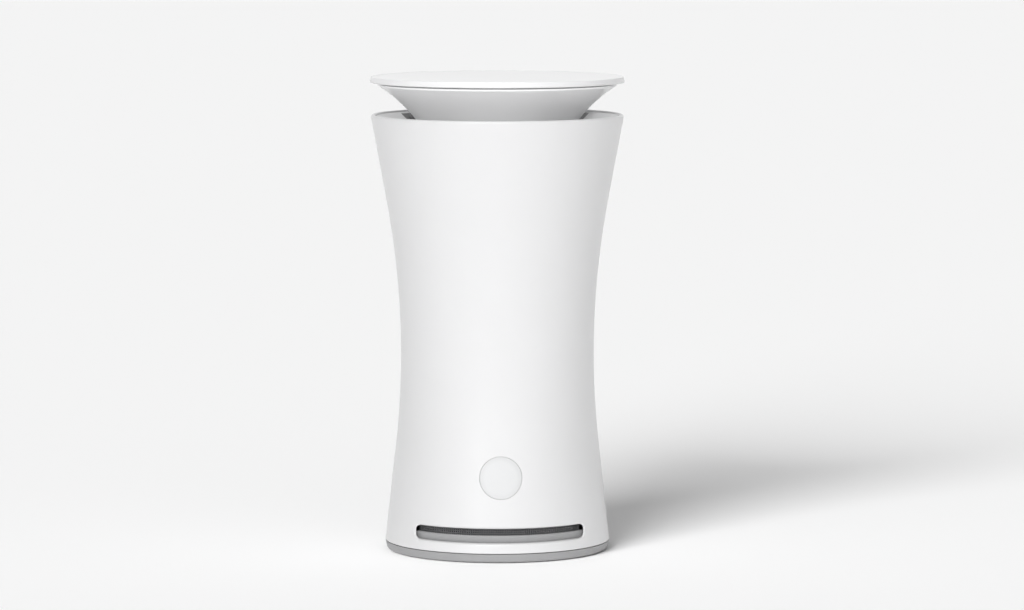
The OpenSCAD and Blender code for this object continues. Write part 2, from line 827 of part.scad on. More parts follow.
module cap_dish() {
    color("white") difference() {
        union() {
            rotate_extrude() polygon(concat(
                [[0, dish_low_z], [flange_r, dish_low_z],
                 [cap_r - 0.4, cap_z - 0.8 * cap_bevel], [cap_r - 0.1, cap_z - 0.4 * cap_bevel],
                 [cap_r, cap_z], [cap_r - 0.15, cap_z + 0.5 * cap_rim]],
                arc([dish_rim_r, cap_top_z - dish_edge], dish_edge, 20, 120, 6),
                [for (i = [0 : 12]) let (x = 1 - i / 12)
                    [(dish_rim_r - 0.9) * x, dish_floor_z + (dish_depth - 0.15) * x * x]]));
            translate([0, 0, post_low_z]) cylinder(r = post_size, h = dish_low_z - post_low_z + 0.5);
            for (a = [0 : 60 : 300]) rotate([0, 0, a])
                translate([post_size - 1, -rib_w / 2, dish_low_z - rib_h])
                    cube([rib_reach - post_size + 1, rib_w, rib_h + 0.5]);
        }
        translate([0, 0, post_low_z - cut]) cylinder(r = cap_screw_r, h = cap_screw_len + cut);
    }
}

module cap_screw() {
    color("silver") difference() {
        union() {
            translate([0, 0, plug_z - cap_head_h]) cylinder(r = cap_head_r, h = cap_head_h);
            translate([0, 0, plug_z - 0.1]) cylinder(r = cap_screw_r, h = cap_screw_len);
        }
        translate([0, 0, plug_z - cap_head_h - cut])
            cylinder(r = cap_screw_r, h = cut + 1.2, $fn = 6);
    }
}

// ---------------------------------------------------------------- filter cartridge

filter_r = filter_d / 2;
media_in = filter_r - 0.8 - pleat_depth;
carbon_in = media_in - 0.2 - carbon_t;

// One point of the pleated outline: n runs round the pleats, out and in by turns
function pleat(n, t) =
    let (u = 180 * n / pleats, r = n % 2 == 0 ? filter_r - 0.8 - t : media_in + t)
    r * [cos(u), sin(u)];

module filter_media() {
    // The paper is thin, so both sides of each pleat are drawn and the difference is the sheet
    color("ivory") translate([0, 0, media_z]) linear_extrude(media_h) difference() {
        polygon([for (n = [0 : 2 * pleats - 1]) pleat(n, n % 2 == 0 ? 0 : paper_t)]);
        polygon([for (n = [0 : 2 * pleats - 1]) pleat(n, n % 2 == 0 ? 2.2 * paper_t : 0)]);
    }
}

module carbon_sleeve() {
    color("black") ring(carbon_in, carbon_in + carbon_t, media_z, media_top_z);
}

module filter_base_ring() {
    color("white") ring(carbon_in - 1, filter_r, filter_z + gasket_t, media_z);
}

module filter_gasket() {
    color("gray") ring(filter_r - 7, filter_r - 0.5, filter_z, filter_z + gasket_t);
}

lock_gap = 0.3;
lock_z = hub_low_z + lug_t + lock_gap;
lock_top_z = lock_z + lug_t;

module filter_top_cap() {
    color("white") {
        translate([0, 0, media_top_z]) cylinder(r = filter_r, h = end_t);
        difference() {
            translate([0, 0, filter_top_z - 0.5])
                cylinder(r = lug_r + 2, h = lock_top_z - filter_top_z + 0.5);
            translate([0, 0, filter_top_z]) cylinder(r = lug_r + lock_gap, h = lock_z - filter_top_z);
            translate([0, 0, filter_top_z]) cylinder(r = lock_r + lock_gap, h = side_out);
            for (a = [0, 120, 240]) rotate([0, 0, a + 30 + lock_turn])
                translate([lock_r - 2, -lug_w / 2 - 0.4, lock_z - cut])
                    cube([lug_r - lock_r + 2 + lock_gap, lug_w + 0.8, lug_t + 2 * cut]);
        }
    }
}

// ---------------------------------------------------------------- assembly

foot_ring();
base_cover();
base_screws();
body_shell();
intake_mesh();
status_window();
light_guide();
led_board();
led_ribbon();
inner_frame();
main_board();
board_screws();
usb_socket();
power_switch();
switch_plunger();
power_button();
air_sensor();
fan_casing();
fan_screws();
fan_connector();
fan_stator();
fan_bearings();
fan_shaft();
fan_magnet();
fan_rotor();
outlet_collar();
outlet_mesh();
cap_cone();
neck_seal();
cap_seal();
cap_dish();
cap_screw();
filter_top_cap();
filter_media();
carbon_sleeve();
filter_base_ring();
filter_gasket();
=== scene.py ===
"""Dresses the desktop air purifier: fine meshes, finishes, floor, light and camera.

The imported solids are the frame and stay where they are.  The pieces that show most get meshes of
their own with rounded edges, and every other solid gets a finish.  Metres, +Z up, front at -Y.
"""

import logging
import math
from collections.abc import Callable, Mapping, Sequence
from dataclasses import dataclass, field
from enum import Enum
from typing import Any

import bpy
import numpy as np
from mathutils import Matrix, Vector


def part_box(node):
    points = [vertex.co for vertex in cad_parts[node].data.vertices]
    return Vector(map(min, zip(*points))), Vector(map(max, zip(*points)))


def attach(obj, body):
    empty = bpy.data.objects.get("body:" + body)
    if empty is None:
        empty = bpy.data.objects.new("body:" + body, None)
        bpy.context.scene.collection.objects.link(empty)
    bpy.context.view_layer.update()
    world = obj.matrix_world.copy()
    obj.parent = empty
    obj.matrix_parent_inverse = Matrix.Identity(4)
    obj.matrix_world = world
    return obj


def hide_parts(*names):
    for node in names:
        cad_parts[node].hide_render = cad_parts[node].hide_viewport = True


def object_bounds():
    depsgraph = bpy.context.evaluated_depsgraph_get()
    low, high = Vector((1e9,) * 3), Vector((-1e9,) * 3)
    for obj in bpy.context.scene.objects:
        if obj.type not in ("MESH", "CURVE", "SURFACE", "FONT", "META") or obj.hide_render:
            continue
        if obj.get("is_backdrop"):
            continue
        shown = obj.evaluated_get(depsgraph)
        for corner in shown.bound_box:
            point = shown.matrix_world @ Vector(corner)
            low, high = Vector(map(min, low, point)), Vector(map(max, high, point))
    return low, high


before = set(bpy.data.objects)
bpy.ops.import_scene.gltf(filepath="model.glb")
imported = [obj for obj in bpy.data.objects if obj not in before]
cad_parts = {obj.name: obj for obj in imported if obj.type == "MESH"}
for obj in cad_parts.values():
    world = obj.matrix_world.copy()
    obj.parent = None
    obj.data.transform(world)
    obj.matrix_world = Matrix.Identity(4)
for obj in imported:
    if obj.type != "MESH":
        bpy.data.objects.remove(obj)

MM = 0.001
FRONT, REAR = -math.pi / 2, math.pi / 2
CIRCLE = (0.0, math.tau)
CAD_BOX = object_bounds()
log = logging.getLogger("air_purifier")

Pair = tuple[float, float]
Triple = tuple[float, float, float]
Outline = tuple[np.ndarray, np.ndarray]
Socket = bpy.types.NodeSocket


class Body(Enum):
    """The bodies of the frame that the new pieces ride on."""

    HOUSING = "housing"
    BUTTON = "button"
    CAP = "cap"


class CellPart(Enum):
    """What the distance within a cell is measured from."""

    MIDDLE = "F1"
    WALL = "DISTANCE_TO_EDGE"


class Reach(Enum):
    """Which objects a lamp lights: some alone, or all but some."""

    ONLY = "INCLUDE"
    ALL_BUT = "EXCLUDE"


# ------------------------------------------------------------------------------ shader expressions


SMOOTH = {"interpolation_type": "SMOOTHSTEP"}
# A Mix node has sockets of the same names for numbers and for colours, so these go by number.
MIX_COLORS = (6, 7)
MIX_RESULT = 2


def operator(operation: str, flipped: bool = False) -> Callable[["Value", Any], "Value"]:
    """Makes an operator of Value.

    Args:
        operation: The operation of the Math node that it adds.
        flipped: Whether the other term stands in front.

    Returns:
        The operator.
    """

    def apply(value: "Value", other: "Value | float") -> "Value":
        """Adds the Math node."""
        return value.tree.math(operation, *((other, value) if flipped else (value, other)))

    return apply


class Value:
    """A number in a material; Python's operators on it add Math nodes."""

    def __init__(self, tree: "Tree", socket: Socket) -> None:
        """Wraps an output socket of a node in the tree."""
        self.tree = tree
        self.socket = socket

    __add__ = operator("ADD")
    __radd__ = operator("ADD", flipped=True)
    __sub__ = operator("SUBTRACT")
    __rsub__ = operator("SUBTRACT", flipped=True)
    __mul__ = operator("MULTIPLY")
    __rmul__ = operator("MULTIPLY", flipped=True)
    __pow__ = operator("POWER")
    over = operator("GREATER_THAN")

    def sine(self) -> "Value":
        """The sine of the value in radians."""
        return self.tree.math("SINE", self)

    def wave(self, period: float) -> "Value":
        """A wave from nought to one that repeats with a period."""
        return (self * (math.tau / period)).sine() * 0.5 + 0.5

    def ramp(self, low: float, high: float) -> "Value":
        """Maps low to nought and high to one, smoothly and clamped."""
        inputs = {"Value": self, "From Min": low, "From Max": high}
        return Value(self.tree, self.tree.add("ShaderNodeMapRange", SMOOTH, inputs, "Result"))


class Tree:
    """The node tree of a material or of the sky, with one way to add a node."""

    def __init__(self, name: str, world: bpy.types.World | None = None) -> None:
        """Starts a material, or works on the sky.

        Args:
            name: The material's name.
            world: The sky, if the tree is not a material's.
        """
        self.material = world or bpy.data.materials.new(name)
        self.material.use_nodes = True
        self.nodes = self.material.node_tree.nodes
        self.links = self.material.node_tree.links
        self.shader = self.nodes["Background" if world else "Principled BSDF"]
        self.place = self.add("ShaderNodeTexCoord", {}, {}, "Generated" if world else "Object")

    def add(
        self, kind: str, settings: Mapping[str, Any], inputs: Mapping[str | int, Any], output: str | int = 0,
    ) -> Socket:
        """Adds a node, sets it up and then feeds its sockets.

        Args:
            kind: The node's type.
            settings: Its properties.
            inputs: Plain values, sockets or Values, by the socket's name or number.
            output: The name or number of the output that is wanted.

        Returns:
            That output.
        """
        node = self.nodes.new(kind)
        for key, value in settings.items():
            setattr(node, key, value)
        for key, value in inputs.items():
            self.feed(node.inputs[key], value)
        return node.outputs[output]

    def feed(self, socket: Socket, value: Any) -> None:
        """Gives an input what it should have.

        Args:
            socket: The input.
            value: A Value or a socket, which is linked, or a plain value.
        """
        if isinstance(value, (Value, Socket)):
            self.links.new(getattr(value, "socket", value), socket)
        elif socket.type == "RGBA":
            socket.default_value = (*value, 1.0)
        else:
            socket.default_value = value

    def math(self, operation: str, *terms: Value | float) -> Value:
        """The result of a Math node."""
        return Value(self, self.add("ShaderNodeMath", {"operation": operation}, dict(enumerate(terms))))

    def vector(self, operation: str, other: Sequence[float], output: str) -> Socket:
        """The result of a Vector Math node on the place and another vector."""
        return self.add("ShaderNodeVectorMath", {"operation": operation}, {0: self.place, 1: other}, output)

    def noise(self, size: float, detail: float = 2.0, stretch: Triple = (1.0, 1.0, 1.0)) -> Value:
        """A noise from nought to one.

        Args:
            size: The size of its patches in metres.
            detail: How many finer layers it has.
            stretch: How many times longer the patches are along each axis.

        Returns:
            The noise.
        """
        place = self.vector("MULTIPLY", [1.0 / part for part in stretch], "Vector")
        inputs = {"Vector": place, "Scale": 1.0 / size, "Detail": detail}
        return Value(self, self.add("ShaderNodeTexNoise", {}, inputs))

    def cells(self, size: float, part: CellPart = CellPart.MIDDLE) -> Value:
        """The distance within round cells of a size in metres."""
        inputs = {"Vector": self.place, "Scale": 1.0 / size}
        return Value(self, self.add("ShaderNodeTexVoronoi", {"feature": part.value}, inputs, "Distance"))

    def axis(self, name: str) -> Value:
        """One of the place's coordinates, X, Y or Z, in metres."""
        return Value(self, self.add("ShaderNodeSeparateXYZ", {}, {0: self.place}, name))

    def radius(self) -> Value:
        """The distance from the object's upright axis, in metres."""
        x, y = self.axis("X"), self.axis("Y")
        return (x * x + y * y) ** 0.5

    def blend(self, factor: Value, first: Any, second: Any) -> Socket:
        """The colour between two others; a factor of nought gives the first and one the second."""
        inputs = {0: factor, MIX_COLORS[0]: first, MIX_COLORS[1]: second}
        return self.add("ShaderNodeMix", {"data_type": "RGBA"}, inputs, MIX_RESULT)

    def bump(self, height: Value, depth: float) -> None:
        """Raises the surface by a height from nought to one, where one stands for depth metres."""
        self.surface(normal=self.add("ShaderNodeBump", {}, {"Height": height, "Distance": depth}))

    def surface(self, **inputs: Any) -> bpy.types.Material:
        """Feeds the shader's sockets.

        Args:
            inputs: The values, sockets or Values, by the sockets' names, small and with _ for spaces.

        Returns:
            The material.
        """
        sockets = {socket.name.lower().replace(" ", "_"): socket for socket in self.shader.inputs}
        for name, value in inputs.items():
            self.feed(sockets[name], value)
        return self.material


def shade(color: Triple, factor: float) -> Triple:
    """A colour made darker or lighter by a factor."""
    return tuple(min(1.0, part * factor) for part in color)


# ---------------------------------------------------------------------------------------- finishes


@dataclass(frozen=True)
class Finish:
    """A finish: what a piece is made of."""

    name: str
    color: Triple

    def make(self) -> bpy.types.Material:
        """Builds the material; each finish has its own way."""
        raise NotImplementedError


@dataclass(frozen=True)
class Plastic(Finish):
    """A moulded plastic: faintly drifting in tone, with a fine skin."""

    roughness: float = 0.4
    drift: float = 0.015
    patch: float = 18 * MM
    grain: float = 0.35 * MM
    depth: float = 0.004 * MM
    coat: float = 0.0
    coat_roughness: float = 0.12
    smear: float = 0.08

    def make(self) -> bpy.types.Material:
        """Builds the material.

        Returns:
            The material.
        """
        tree = Tree(self.name)
        cloud = tree.noise(self.patch, detail=3.0)
        color = tree.blend(cloud, shade(self.color, 1 - self.drift), shade(self.color, 1 + self.drift))
        smears = tree.noise(self.patch / 3, detail=4.0, stretch=(1.0, 1.0, 2.5))
        roughness = self.roughness * (1 - self.smear + smears * (2 * self.smear))
        tree.bump(tree.noise(self.grain, detail=1.5), self.depth)
        return tree.surface(
            base_color=color, roughness=roughness, coat_weight=self.coat, coat_roughness=self.coat_roughness)


@dataclass(frozen=True)
class Rubber(Finish):
    """A soft matte rubber or elastomer with a fine pebbled skin and a little dust."""

    pebble: float = 0.28 * MM
    depth: float = 0.02 * MM
    patch: float = 4 * MM

    def make(self) -> bpy.types.Material:
        """Builds the material.

        Returns:
            The material.
        """
        tree = Tree(self.name)
        dust = tree.noise(self.patch, detail=4.0).ramp(0.35, 0.8)
        color = tree.blend(dust, self.color, shade(self.color, 1.35))
        tree.bump(1 - tree.cells(self.pebble), self.depth)
        return tree.surface(base_color=color, roughness=0.72 + dust * 0.12, specular_ior_level=0.35)


@dataclass(frozen=True)
class Foam(Finish):
    """An open or closed foam: cells with soft walls, painted shade in their hollows and a painted lighter
    tone on the walls.
    """

    cell: float = 0.8 * MM
    depth: float = 0.18 * MM

    def make(self) -> bpy.types.Material:
        """Builds the material.

        Returns:
            The material.
        """
        tree = Tree(self.name)
        hollows_and_shade = tree.cells(self.cell, CellPart.WALL).ramp(0.0, 0.22)
        # Painted shade darkens the hollows of the cells, and the walls get a painted lighter tone.
        color = tree.blend(hollows_and_shade, shade(self.color, 1.6), shade(self.color, 0.6))
        tree.bump(1 - hollows_and_shade, self.depth)
        return tree.surface(base_color=color, roughness=0.9 - hollows_and_shade * 0.08)


@dataclass(frozen=True)
class Paper(Finish):
    """Pleated filter paper: matted fibres, with painted shade deeper in the pleats, so that it is lighter
    along the folds.
    """

    fold_radius: float
    fold: float = 5 * MM
    fibre: float = 0.25 * MM
    depth: float = 0.06 * MM

    def make(self) -> bpy.types.Material:
        """Builds the material.

        Returns:
            The material.
        """
        tree = Tree(self.name)
        fibres = tree.noise(self.fibre, detail=5.0, stretch=(1.0, 1.0, 4.0))
        # Painted shade darkens the paper inward from the folds' crests.
        painted_shade_to_crest = tree.radius().ramp(self.fold_radius - self.fold, self.fold_radius)
        matted = tree.blend(fibres, shade(self.color, 0.86), shade(self.color, 1.06))
        color = tree.blend(painted_shade_to_crest, shade(self.color, 0.72), matted)
        tree.bump(fibres, self.depth)
        return tree.surface(base_color=color, roughness=0.88 + fibres * 0.08)


@dataclass(frozen=True)
class Metal(Finish):
    """A plated or turned metal: bright, with fine marks of the tool and some haze."""

    roughness: float = 0.28
    mark: float = 0.08 * MM
    depth: float = 0.004 * MM
    patch: float = 2.5 * MM
    metallic: float = 1.0

    def make(self) -> bpy.types.Material:
        """Builds the material.

        Returns:
            The material.
        """
        tree = Tree(self.name)
        marks = tree.noise(self.mark, detail=2.0, stretch=(6.0, 6.0, 1.0))
        haze = tree.noise(self.patch, detail=3.0).ramp(0.3, 0.75)
        color = tree.blend(haze, self.color, shade(self.color, 0.82))
        tree.bump(marks, self.depth)
        roughness = self.roughness + marks * 0.1 + haze * 0.08
        return tree.surface(base_color=color, roughness=roughness, metallic=self.metallic)


@dataclass(frozen=True)
class Winding(Finish):
    """Enamelled copper wire, wound in tight level turns, with painted shade between the turns."""

    wire: float = 0.22 * MM

    def make(self) -> bpy.types.Material:
        """Builds the material.

        Returns:
            The material.
        """
        tree = Tree(self.name)
        turns = tree.axis("Z").wave(self.wire)
        # Painted shade darkens the colour between the turns of wire.
        color = tree.blend(turns, shade(self.color, 0.35), self.color)
        tree.bump(turns, self.wire / 3)
        return tree.surface(base_color=color, roughness=0.42 - turns * 0.16, metallic=0.85)


@dataclass(frozen=True)
class CircuitBoard(Finish):
    """A circuit board: green solder mask over copper tracks, with tinned pads."""

    tin: Triple = (0.62, 0.61, 0.56)
    pitch: float = 2.2 * MM
    patch: float = 6 * MM
    depth: float = 0.03 * MM

    def make(self) -> bpy.types.Material:
        """Builds the material.

        Returns:
            The material.
        """
        tree = Tree(self.name)
        run = (tree.axis("X") + tree.axis("Z") * 0.5).wave(self.pitch)
        tracks = run.ramp(0.55, 0.7) * tree.noise(self.patch, 0.0).over(0.48)
        pads = 1 - tree.cells(self.pitch * 1.3).ramp(0.16, 0.2)
        green = tree.blend(tracks, self.color, shade(self.color, 1.9))
        color = tree.blend(pads, green, self.tin)
        tree.bump(tracks + pads, self.depth)
        return tree.surface(base_color=color, roughness=0.35 - pads * 0.1, metallic=pads * 0.9)


@dataclass(frozen=True)
class Ribbon(Finish):
    """A flat film cable: copper strands under amber film."""

    strand: float = 0.5 * MM
    depth: float = 0.02 * MM

    def make(self) -> bpy.types.Material:
        """Builds the material.

        Returns:
            The material.
        """
        tree = Tree(self.name)
        strands = tree.axis("Z").wave(self.strand).ramp(0.3, 0.6)
        color = tree.blend(strands, shade(self.color, 0.55), self.color)
        tree.bump(strands, self.depth)
        return tree.surface(base_color=color, roughness=0.3 + strands * 0.08)


@dataclass(frozen=True)
class Frosted(Finish):
    """Frosted acrylic: milky, with a satin skin and painted shade at the rim, which is a little darker than
    its middle.
    """

    center: Triple
    radius: float
    grain: float = 0.12 * MM
    depth: float = 0.005 * MM

    def make(self) -> bpy.types.Material:
        """Builds the material.

        Returns:
            The material.
        """
        tree = Tree(self.name)
        # Painted shade darkens the window towards its rim.
        rim = Value(tree, tree.vector("DISTANCE", self.center, "Value")).ramp(self.radius * 0.7, self.radius)
        frost = tree.noise(self.grain, detail=2.0)
        color = tree.blend(rim, self.color, shade(self.color, 0.93))
        tree.bump(frost, self.depth)
        return tree.surface(base_color=color, roughness=0.42 + frost * 0.1)


@dataclass(frozen=True)
class Floor(Finish):
    """The plain pale floor, with a trace of tone in it."""

    patch: float = 0.6

    def make(self) -> bpy.types.Material:
        """Builds the material.

        Returns:
            The material.
        """
        tree = Tree(self.name)
        cloud = tree.noise(self.patch, detail=2.0)
        color = tree.blend(cloud, shade(self.color, 0.998), self.color)
        return tree.surface(base_color=color, roughness=0.9 + cloud * 0.02, specular_ior_level=0.0)


WHITE = Plastic("white_gloss", (0.7, 0.7, 0.705), roughness=0.3, drift=0.006, patch=22 * MM, coat=0.15)
GREY = Plastic("satin_grey", (0.33, 0.33, 0.335), roughness=0.45, drift=0.03, grain=0.22 * MM,
               depth=0.008 * MM)
DARK = Plastic("dark_fine", (0.14, 0.14, 0.145), roughness=0.5, drift=0.05, grain=0.2 * MM, depth=0.01 * MM)


# ------------------------------------------------------------------------------------------ meshes


@dataclass(frozen=True)
class Corner:
    """A corner of an outline; with no radius it is a point of a smooth run."""

    a: float
    b: float
    radius: float = 0.0


def unit(vector: np.ndarray) -> np.ndarray:
    """Vectors, along the last axis, made one long."""
    length = np.linalg.norm(vector, axis=-1, keepdims=True)
    return vector / np.where(length > 0, length, 1.0)


def way(angle: float) -> np.ndarray:
    """The flat direction at an angle."""
    return np.array([math.cos(angle), math.sin(angle)])


def spun(radius: float, height: float, angles: np.ndarray) -> np.ndarray:
    """Places, or slopes, of a radius and a height at angles about the upright axis."""
    return np.stack([radius * np.cos(angles), radius * np.sin(angles), np.full_like(angles, height)], axis=-1)


def rounded(corners: Sequence[Corner], closed: bool = True, steps: int = 6) -> Outline:
    """Rounds the corners of an outline that has its solid on the left.

    Args:
        corners: The corners in order.
        closed: Whether the last corner joins the first.
        steps: How many lines a rounded corner takes.

    Returns:
        The points and their normals, which point away from the solid.
    """
    spots = np.array([[c.a, c.b] for c in corners])
    ahead = unit(np.roll(spots, -1, axis=0) - spots)
    behind = unit(spots - np.roll(spots, 1, axis=0))
    if not closed:
        behind[0] = ahead[0]
        ahead[-1] = behind[-1]
    points, normals = [], []
    for spot, corner, inward, onward in zip(spots, corners, behind, ahead):
        first = np.array([inward[1], -inward[0]])
        if corner.radius <= 0:
            points.append(spot)
            normals.append(unit(first + np.array([onward[1], -onward[0]])))
            continue
        turn = math.atan2(inward[0] * onward[1] - inward[1] * onward[0], float(inward @ onward))
        bow = math.copysign(corner.radius, turn)
        center = spot - inward * corner.radius * math.tan(abs(turn) / 2) - bow * first
        for step in range(steps + 1):
            normal = way(math.atan2(first[1], first[0]) + turn * step / steps)
            points.append(center + bow * normal)
            normals.append(normal)
    return np.array(points), np.array(normals)


def count_points(corners: Sequence[Corner], steps: int) -> int:
    """How many points rounded() makes of corners."""
    return sum(steps + 1 if corner.radius > 0 else 1 for corner in corners)


def band(
    inner: float, outer: float, base: float, top: float, edges: Sequence[float], steps: int = 6,
) -> Outline:
    """A rectangle's outline; edges are the radii of its corners, from the lower left, anticlockwise."""
    spots = ((inner, base), (outer, base), (outer, top), (inner, top))
    return rounded([Corner(*spot, edge) for spot, edge in zip(spots, edges)], steps=steps)


class MeshMaker:
    """Gathers the points, normals and faces of one mesh."""

    bevel = 0.12 * MM
    pole = 1e-7

    def __init__(self) -> None:
        """Starts empty."""
        self.points: list[np.ndarray] = []
        self.normals: list[np.ndarray] = []
        self.faces: list[tuple[int, ...]] = []
        self.count = 0

    def add(self, points: np.ndarray, normals: np.ndarray) -> np.ndarray:
        """Adds a row of points.

        Args:
            points: Their places.
            normals: Their normals.

        Returns:
            Their numbers.
        """
        self.points.append(points)
        self.normals.append(unit(normals))
        self.count += len(points)
        return np.arange(self.count - len(points), self.count)

    def face(self, numbers: Sequence[int]) -> None:
        """Adds a face, if it has any area.

        Args:
            numbers: The points round it; those that stand twice count once.
        """
        corners = tuple(dict.fromkeys(int(number) for number in numbers))
        if len(corners) > 2:
            self.faces.append(corners)

    def strip(self, low: np.ndarray, high: np.ndarray, closed: bool = True) -> None:
        """Fills the band between two rows of points with quads.

        Args:
            low: The first row, which runs to the right as seen from outside.
            high: The row above it, as long as the first.
            closed: Whether the rows close on themselves.
        """
        for j in range(len(low) if closed else len(low) - 1):
            k = (j + 1) % len(low)
            self.face((low[j], low[k], high[k], high[j]))

    def rows(self, outline: Outline, angles: np.ndarray) -> np.ndarray:
        """Adds an outline of (radius, height) points at every one of some angles.

        Args:
            outline: Points and normals, with the solid on their left.
            angles: The angles about the upright axis.

        Returns:
            The numbers of the points, one row for each point of the outline.
        """
        grid = []
        for (r, z), (nr, nz) in zip(*outline):
            if r < self.pole:
                numbers = self.add(np.array([[0.0, 0.0, z]]), np.array([[0.0, 0.0, nz]]))
                grid.append(np.repeat(numbers, len(angles)))
            else:
                grid.append(self.add(spun(r, z, angles), spun(nr, nz, angles)))
        return np.array(grid)

    def turn(self, outline: Outline, columns: int, closed: bool = True, span: Pair = CIRCLE) -> None:
        """Turns an outline of (radius, height) points about the upright axis.

        Args:
            outline: Points and normals, with the solid on their left.
            columns: How many steps the turn takes.
            closed: Whether the outline closes on itself.
            span: The angles between which it turns.
        """
        whole = span == CIRCLE
        angles = np.linspace(*span, columns if whole else columns + 1, endpoint=not whole)
        grid = self.rows(outline, angles)
        for k in range(len(grid) if closed else len(grid) - 1):
            self.strip(grid[k], grid[(k + 1) % len(grid)], whole)
        if not whole:
            self.face(grid[::-1, -1])
            self.face(grid[:, 0])

    def shift(self, start: int, matrix: np.ndarray, offset: Sequence[float] = (0.0, 0.0, 0.0)) -> None:
        """Moves the points added since a certain one.

        Args:
            start: The count of points before those that move.
            matrix: The rotation.
            offset: Where the origin goes.
        """
        seen = 0
        for k, block in enumerate(self.points):
            if seen >= start:
                self.points[k] = block @ matrix.T + np.array(offset)
                self.normals[k] = self.normals[k] @ matrix.T
            seen += len(block)

    def box(self, low: Sequence[float], high: Sequence[float], angle: float = 0.0) -> None:
        """Adds a bar with bevelled edges, turned about the upright axis.

        Args:
            low: Its lowest corner before the turn.
            high: Its highest corner before the turn.
            angle: The turn.
        """
        edge = min(self.bevel, *((b - a) / 4 for a, b in zip(low, high)))
        start = self.count
        spots, leans = band(low[0], high[0], low[1], high[1], [edge] * 4, steps=3)
        rows = []
        for z, inset, lean in ((low[2], edge, -1.0), (low[2] + edge, 0.0, 0.0),
                               (high[2] - edge, 0.0, 0.0), (high[2], edge, 1.0)):
            level = np.ones(len(spots))
            rows.append(self.add(np.column_stack([spots - leans * inset, level * z]),
                                 np.column_stack([leans, level * lean])))
        for first, second in zip(rows, rows[1:]):
            self.strip(first, second)
        self.face(rows[0][::-1])
        self.face(rows[-1])
        ahead, aside = way(angle), way(angle + math.pi / 2)
        self.shift(start, np.array([[ahead[0], aside[0], 0.0], [ahead[1], aside[1], 0.0], [0.0, 0.0, 1.0]]))

    def build(self, name: str) -> bpy.types.Object:
        """Makes the object.

        Args:
            name: The piece's name.

        Returns:
            The object, linked to the scene.
        """
        mesh = bpy.data.meshes.new(name)
        mesh.from_pydata(np.concatenate(self.points).tolist(), [], self.faces)
        mesh.validate()
        mesh.shade_smooth()
        mesh.normals_split_custom_set_from_vertices(np.concatenate(self.normals).tolist())
        piece = bpy.data.objects.new(name, mesh)
        bpy.context.collection.objects.link(piece)
        return piece

    def install(self, name: str, body: Body, finish: Finish, node: str) -> None:
        """Makes the piece and seats it in the frame.

        Args:
            name: The piece's name.
            body: The body that it rides on.
            finish: What it is made of.
            node: The solid that it stands for.
        """
        piece = self.build(name)
        piece.data.materials.append(finish.make())
        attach(piece, body.value)
        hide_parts(node)
        log.info("%s: %d faces on %s", name, len(piece.data.polygons), body.value)


def dress(finish: Finish, *nodes: str) -> None:
    """Gives solids of the frame a finish.

    Args:
        finish: What they are made of.
        nodes: The solids' names.
    """
    material = finish.make()
    for name in nodes:
        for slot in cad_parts[name].material_slots:
            slot.material = material
        log.info("%s: %s", name, finish.name)


def low(node: str, axis: int = 2) -> float:
    """The lowest coordinate of a solid along an axis."""
    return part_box(node)[0][axis]


def high(node: str, axis: int = 2) -> float:
    """The highest coordinate of a solid along an axis."""
    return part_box(node)[1][axis]


def size(node: str, axis: int = 2) -> float:
    """The size of a solid along an axis."""
    return high(node, axis) - low(node, axis)


def middle(node: str, axis: int = 2) -> float:
    """The middle of a solid along an axis."""
    return (low(node, axis) + high(node, axis)) / 2


# ------------------------------------------------------------------------------- openings in walls


@dataclass(frozen=True)
class Opening:
    """A round-cornered opening through a wall, in the wall's own flat coordinates.

    Its edge is a run of steps (outset, depth): how far outside the opening's outline, and how
    deep in the wall, each loop of points lies.
    """

    angle: float
    center: float
    width: float
    height: float
    radius: float
    steps: Sequence[Pair]
    least_radius: float = 0.02 * MM
    least_turns: int = 3

    def loop(self, across: int, along: int, outset: float) -> np.ndarray:
        """The opening's outline, as points that match the rim of a block of the wall's grid.

        Args:
            across: How many columns the block has.
            along: How many rows it has.
            outset: How far outside the outline the points lie.

        Returns:
            Places across and along, from the lower left corner and anticlockwise.
        """
        radius = max(self.radius + outset, self.least_radius)
        half = np.array([self.width / 2 + outset, self.height / 2 + outset])
        spots = []
        for side, count in enumerate((across, along, across, along)):
            length = 2 * (half[side % 2] - radius)
            bend = radius * math.pi / 4
            share = round(count * bend / (2 * bend + max(length, 0.0)))
            turns = min(max(share, self.least_turns), count // 2)
            heading = side * math.pi / 2
            ahead, out = way(heading), way(heading - math.pi / 2)
            hub = (out - ahead) * (half - radius)
            for step in range(count):
                before, after = max(turns - step, 0), max(step - count + turns, 0)
                run = min(max(step - turns, 0) / max(count - 2 * turns, 1), 1.0)
                tilt = heading - math.pi / 2 + math.pi / 4 * (after - before) / turns
                spots.append(hub + ahead * length * run + radius * way(tilt))
        return np.array(spots) + np.array([0.0, self.center])


def edge_steps(front: float, back: float, depth: float, rounds: int = 5) -> list[Pair]:
    """The steps of an opening's edge, rounded in front and behind.

    Args:
        front: Radius of the front edge.
        back: Radius of the back edge.
        depth: Thickness of the wall.
        rounds: How many steps each rounded edge takes.

    Returns:
        Pairs of outset and depth.
    """
    bends = [1 - way(math.pi / 2 * step / rounds) for step in range(rounds + 1)]
    fore = [(front * out, front * deep) for deep, out in bends]
    return fore + [(back * out, depth - back * deep) for deep, out in reversed(bends)]


def side_normals(before: np.ndarray, loop: np.ndarray, after: np.ndarray) -> np.ndarray:
    """The normals of a loop of points in the band between two others."""
    around = np.roll(loop, -1, axis=0) - np.roll(loop, 1, axis=0)
    return np.cross(around, unit(after - loop) + unit(loop - before))


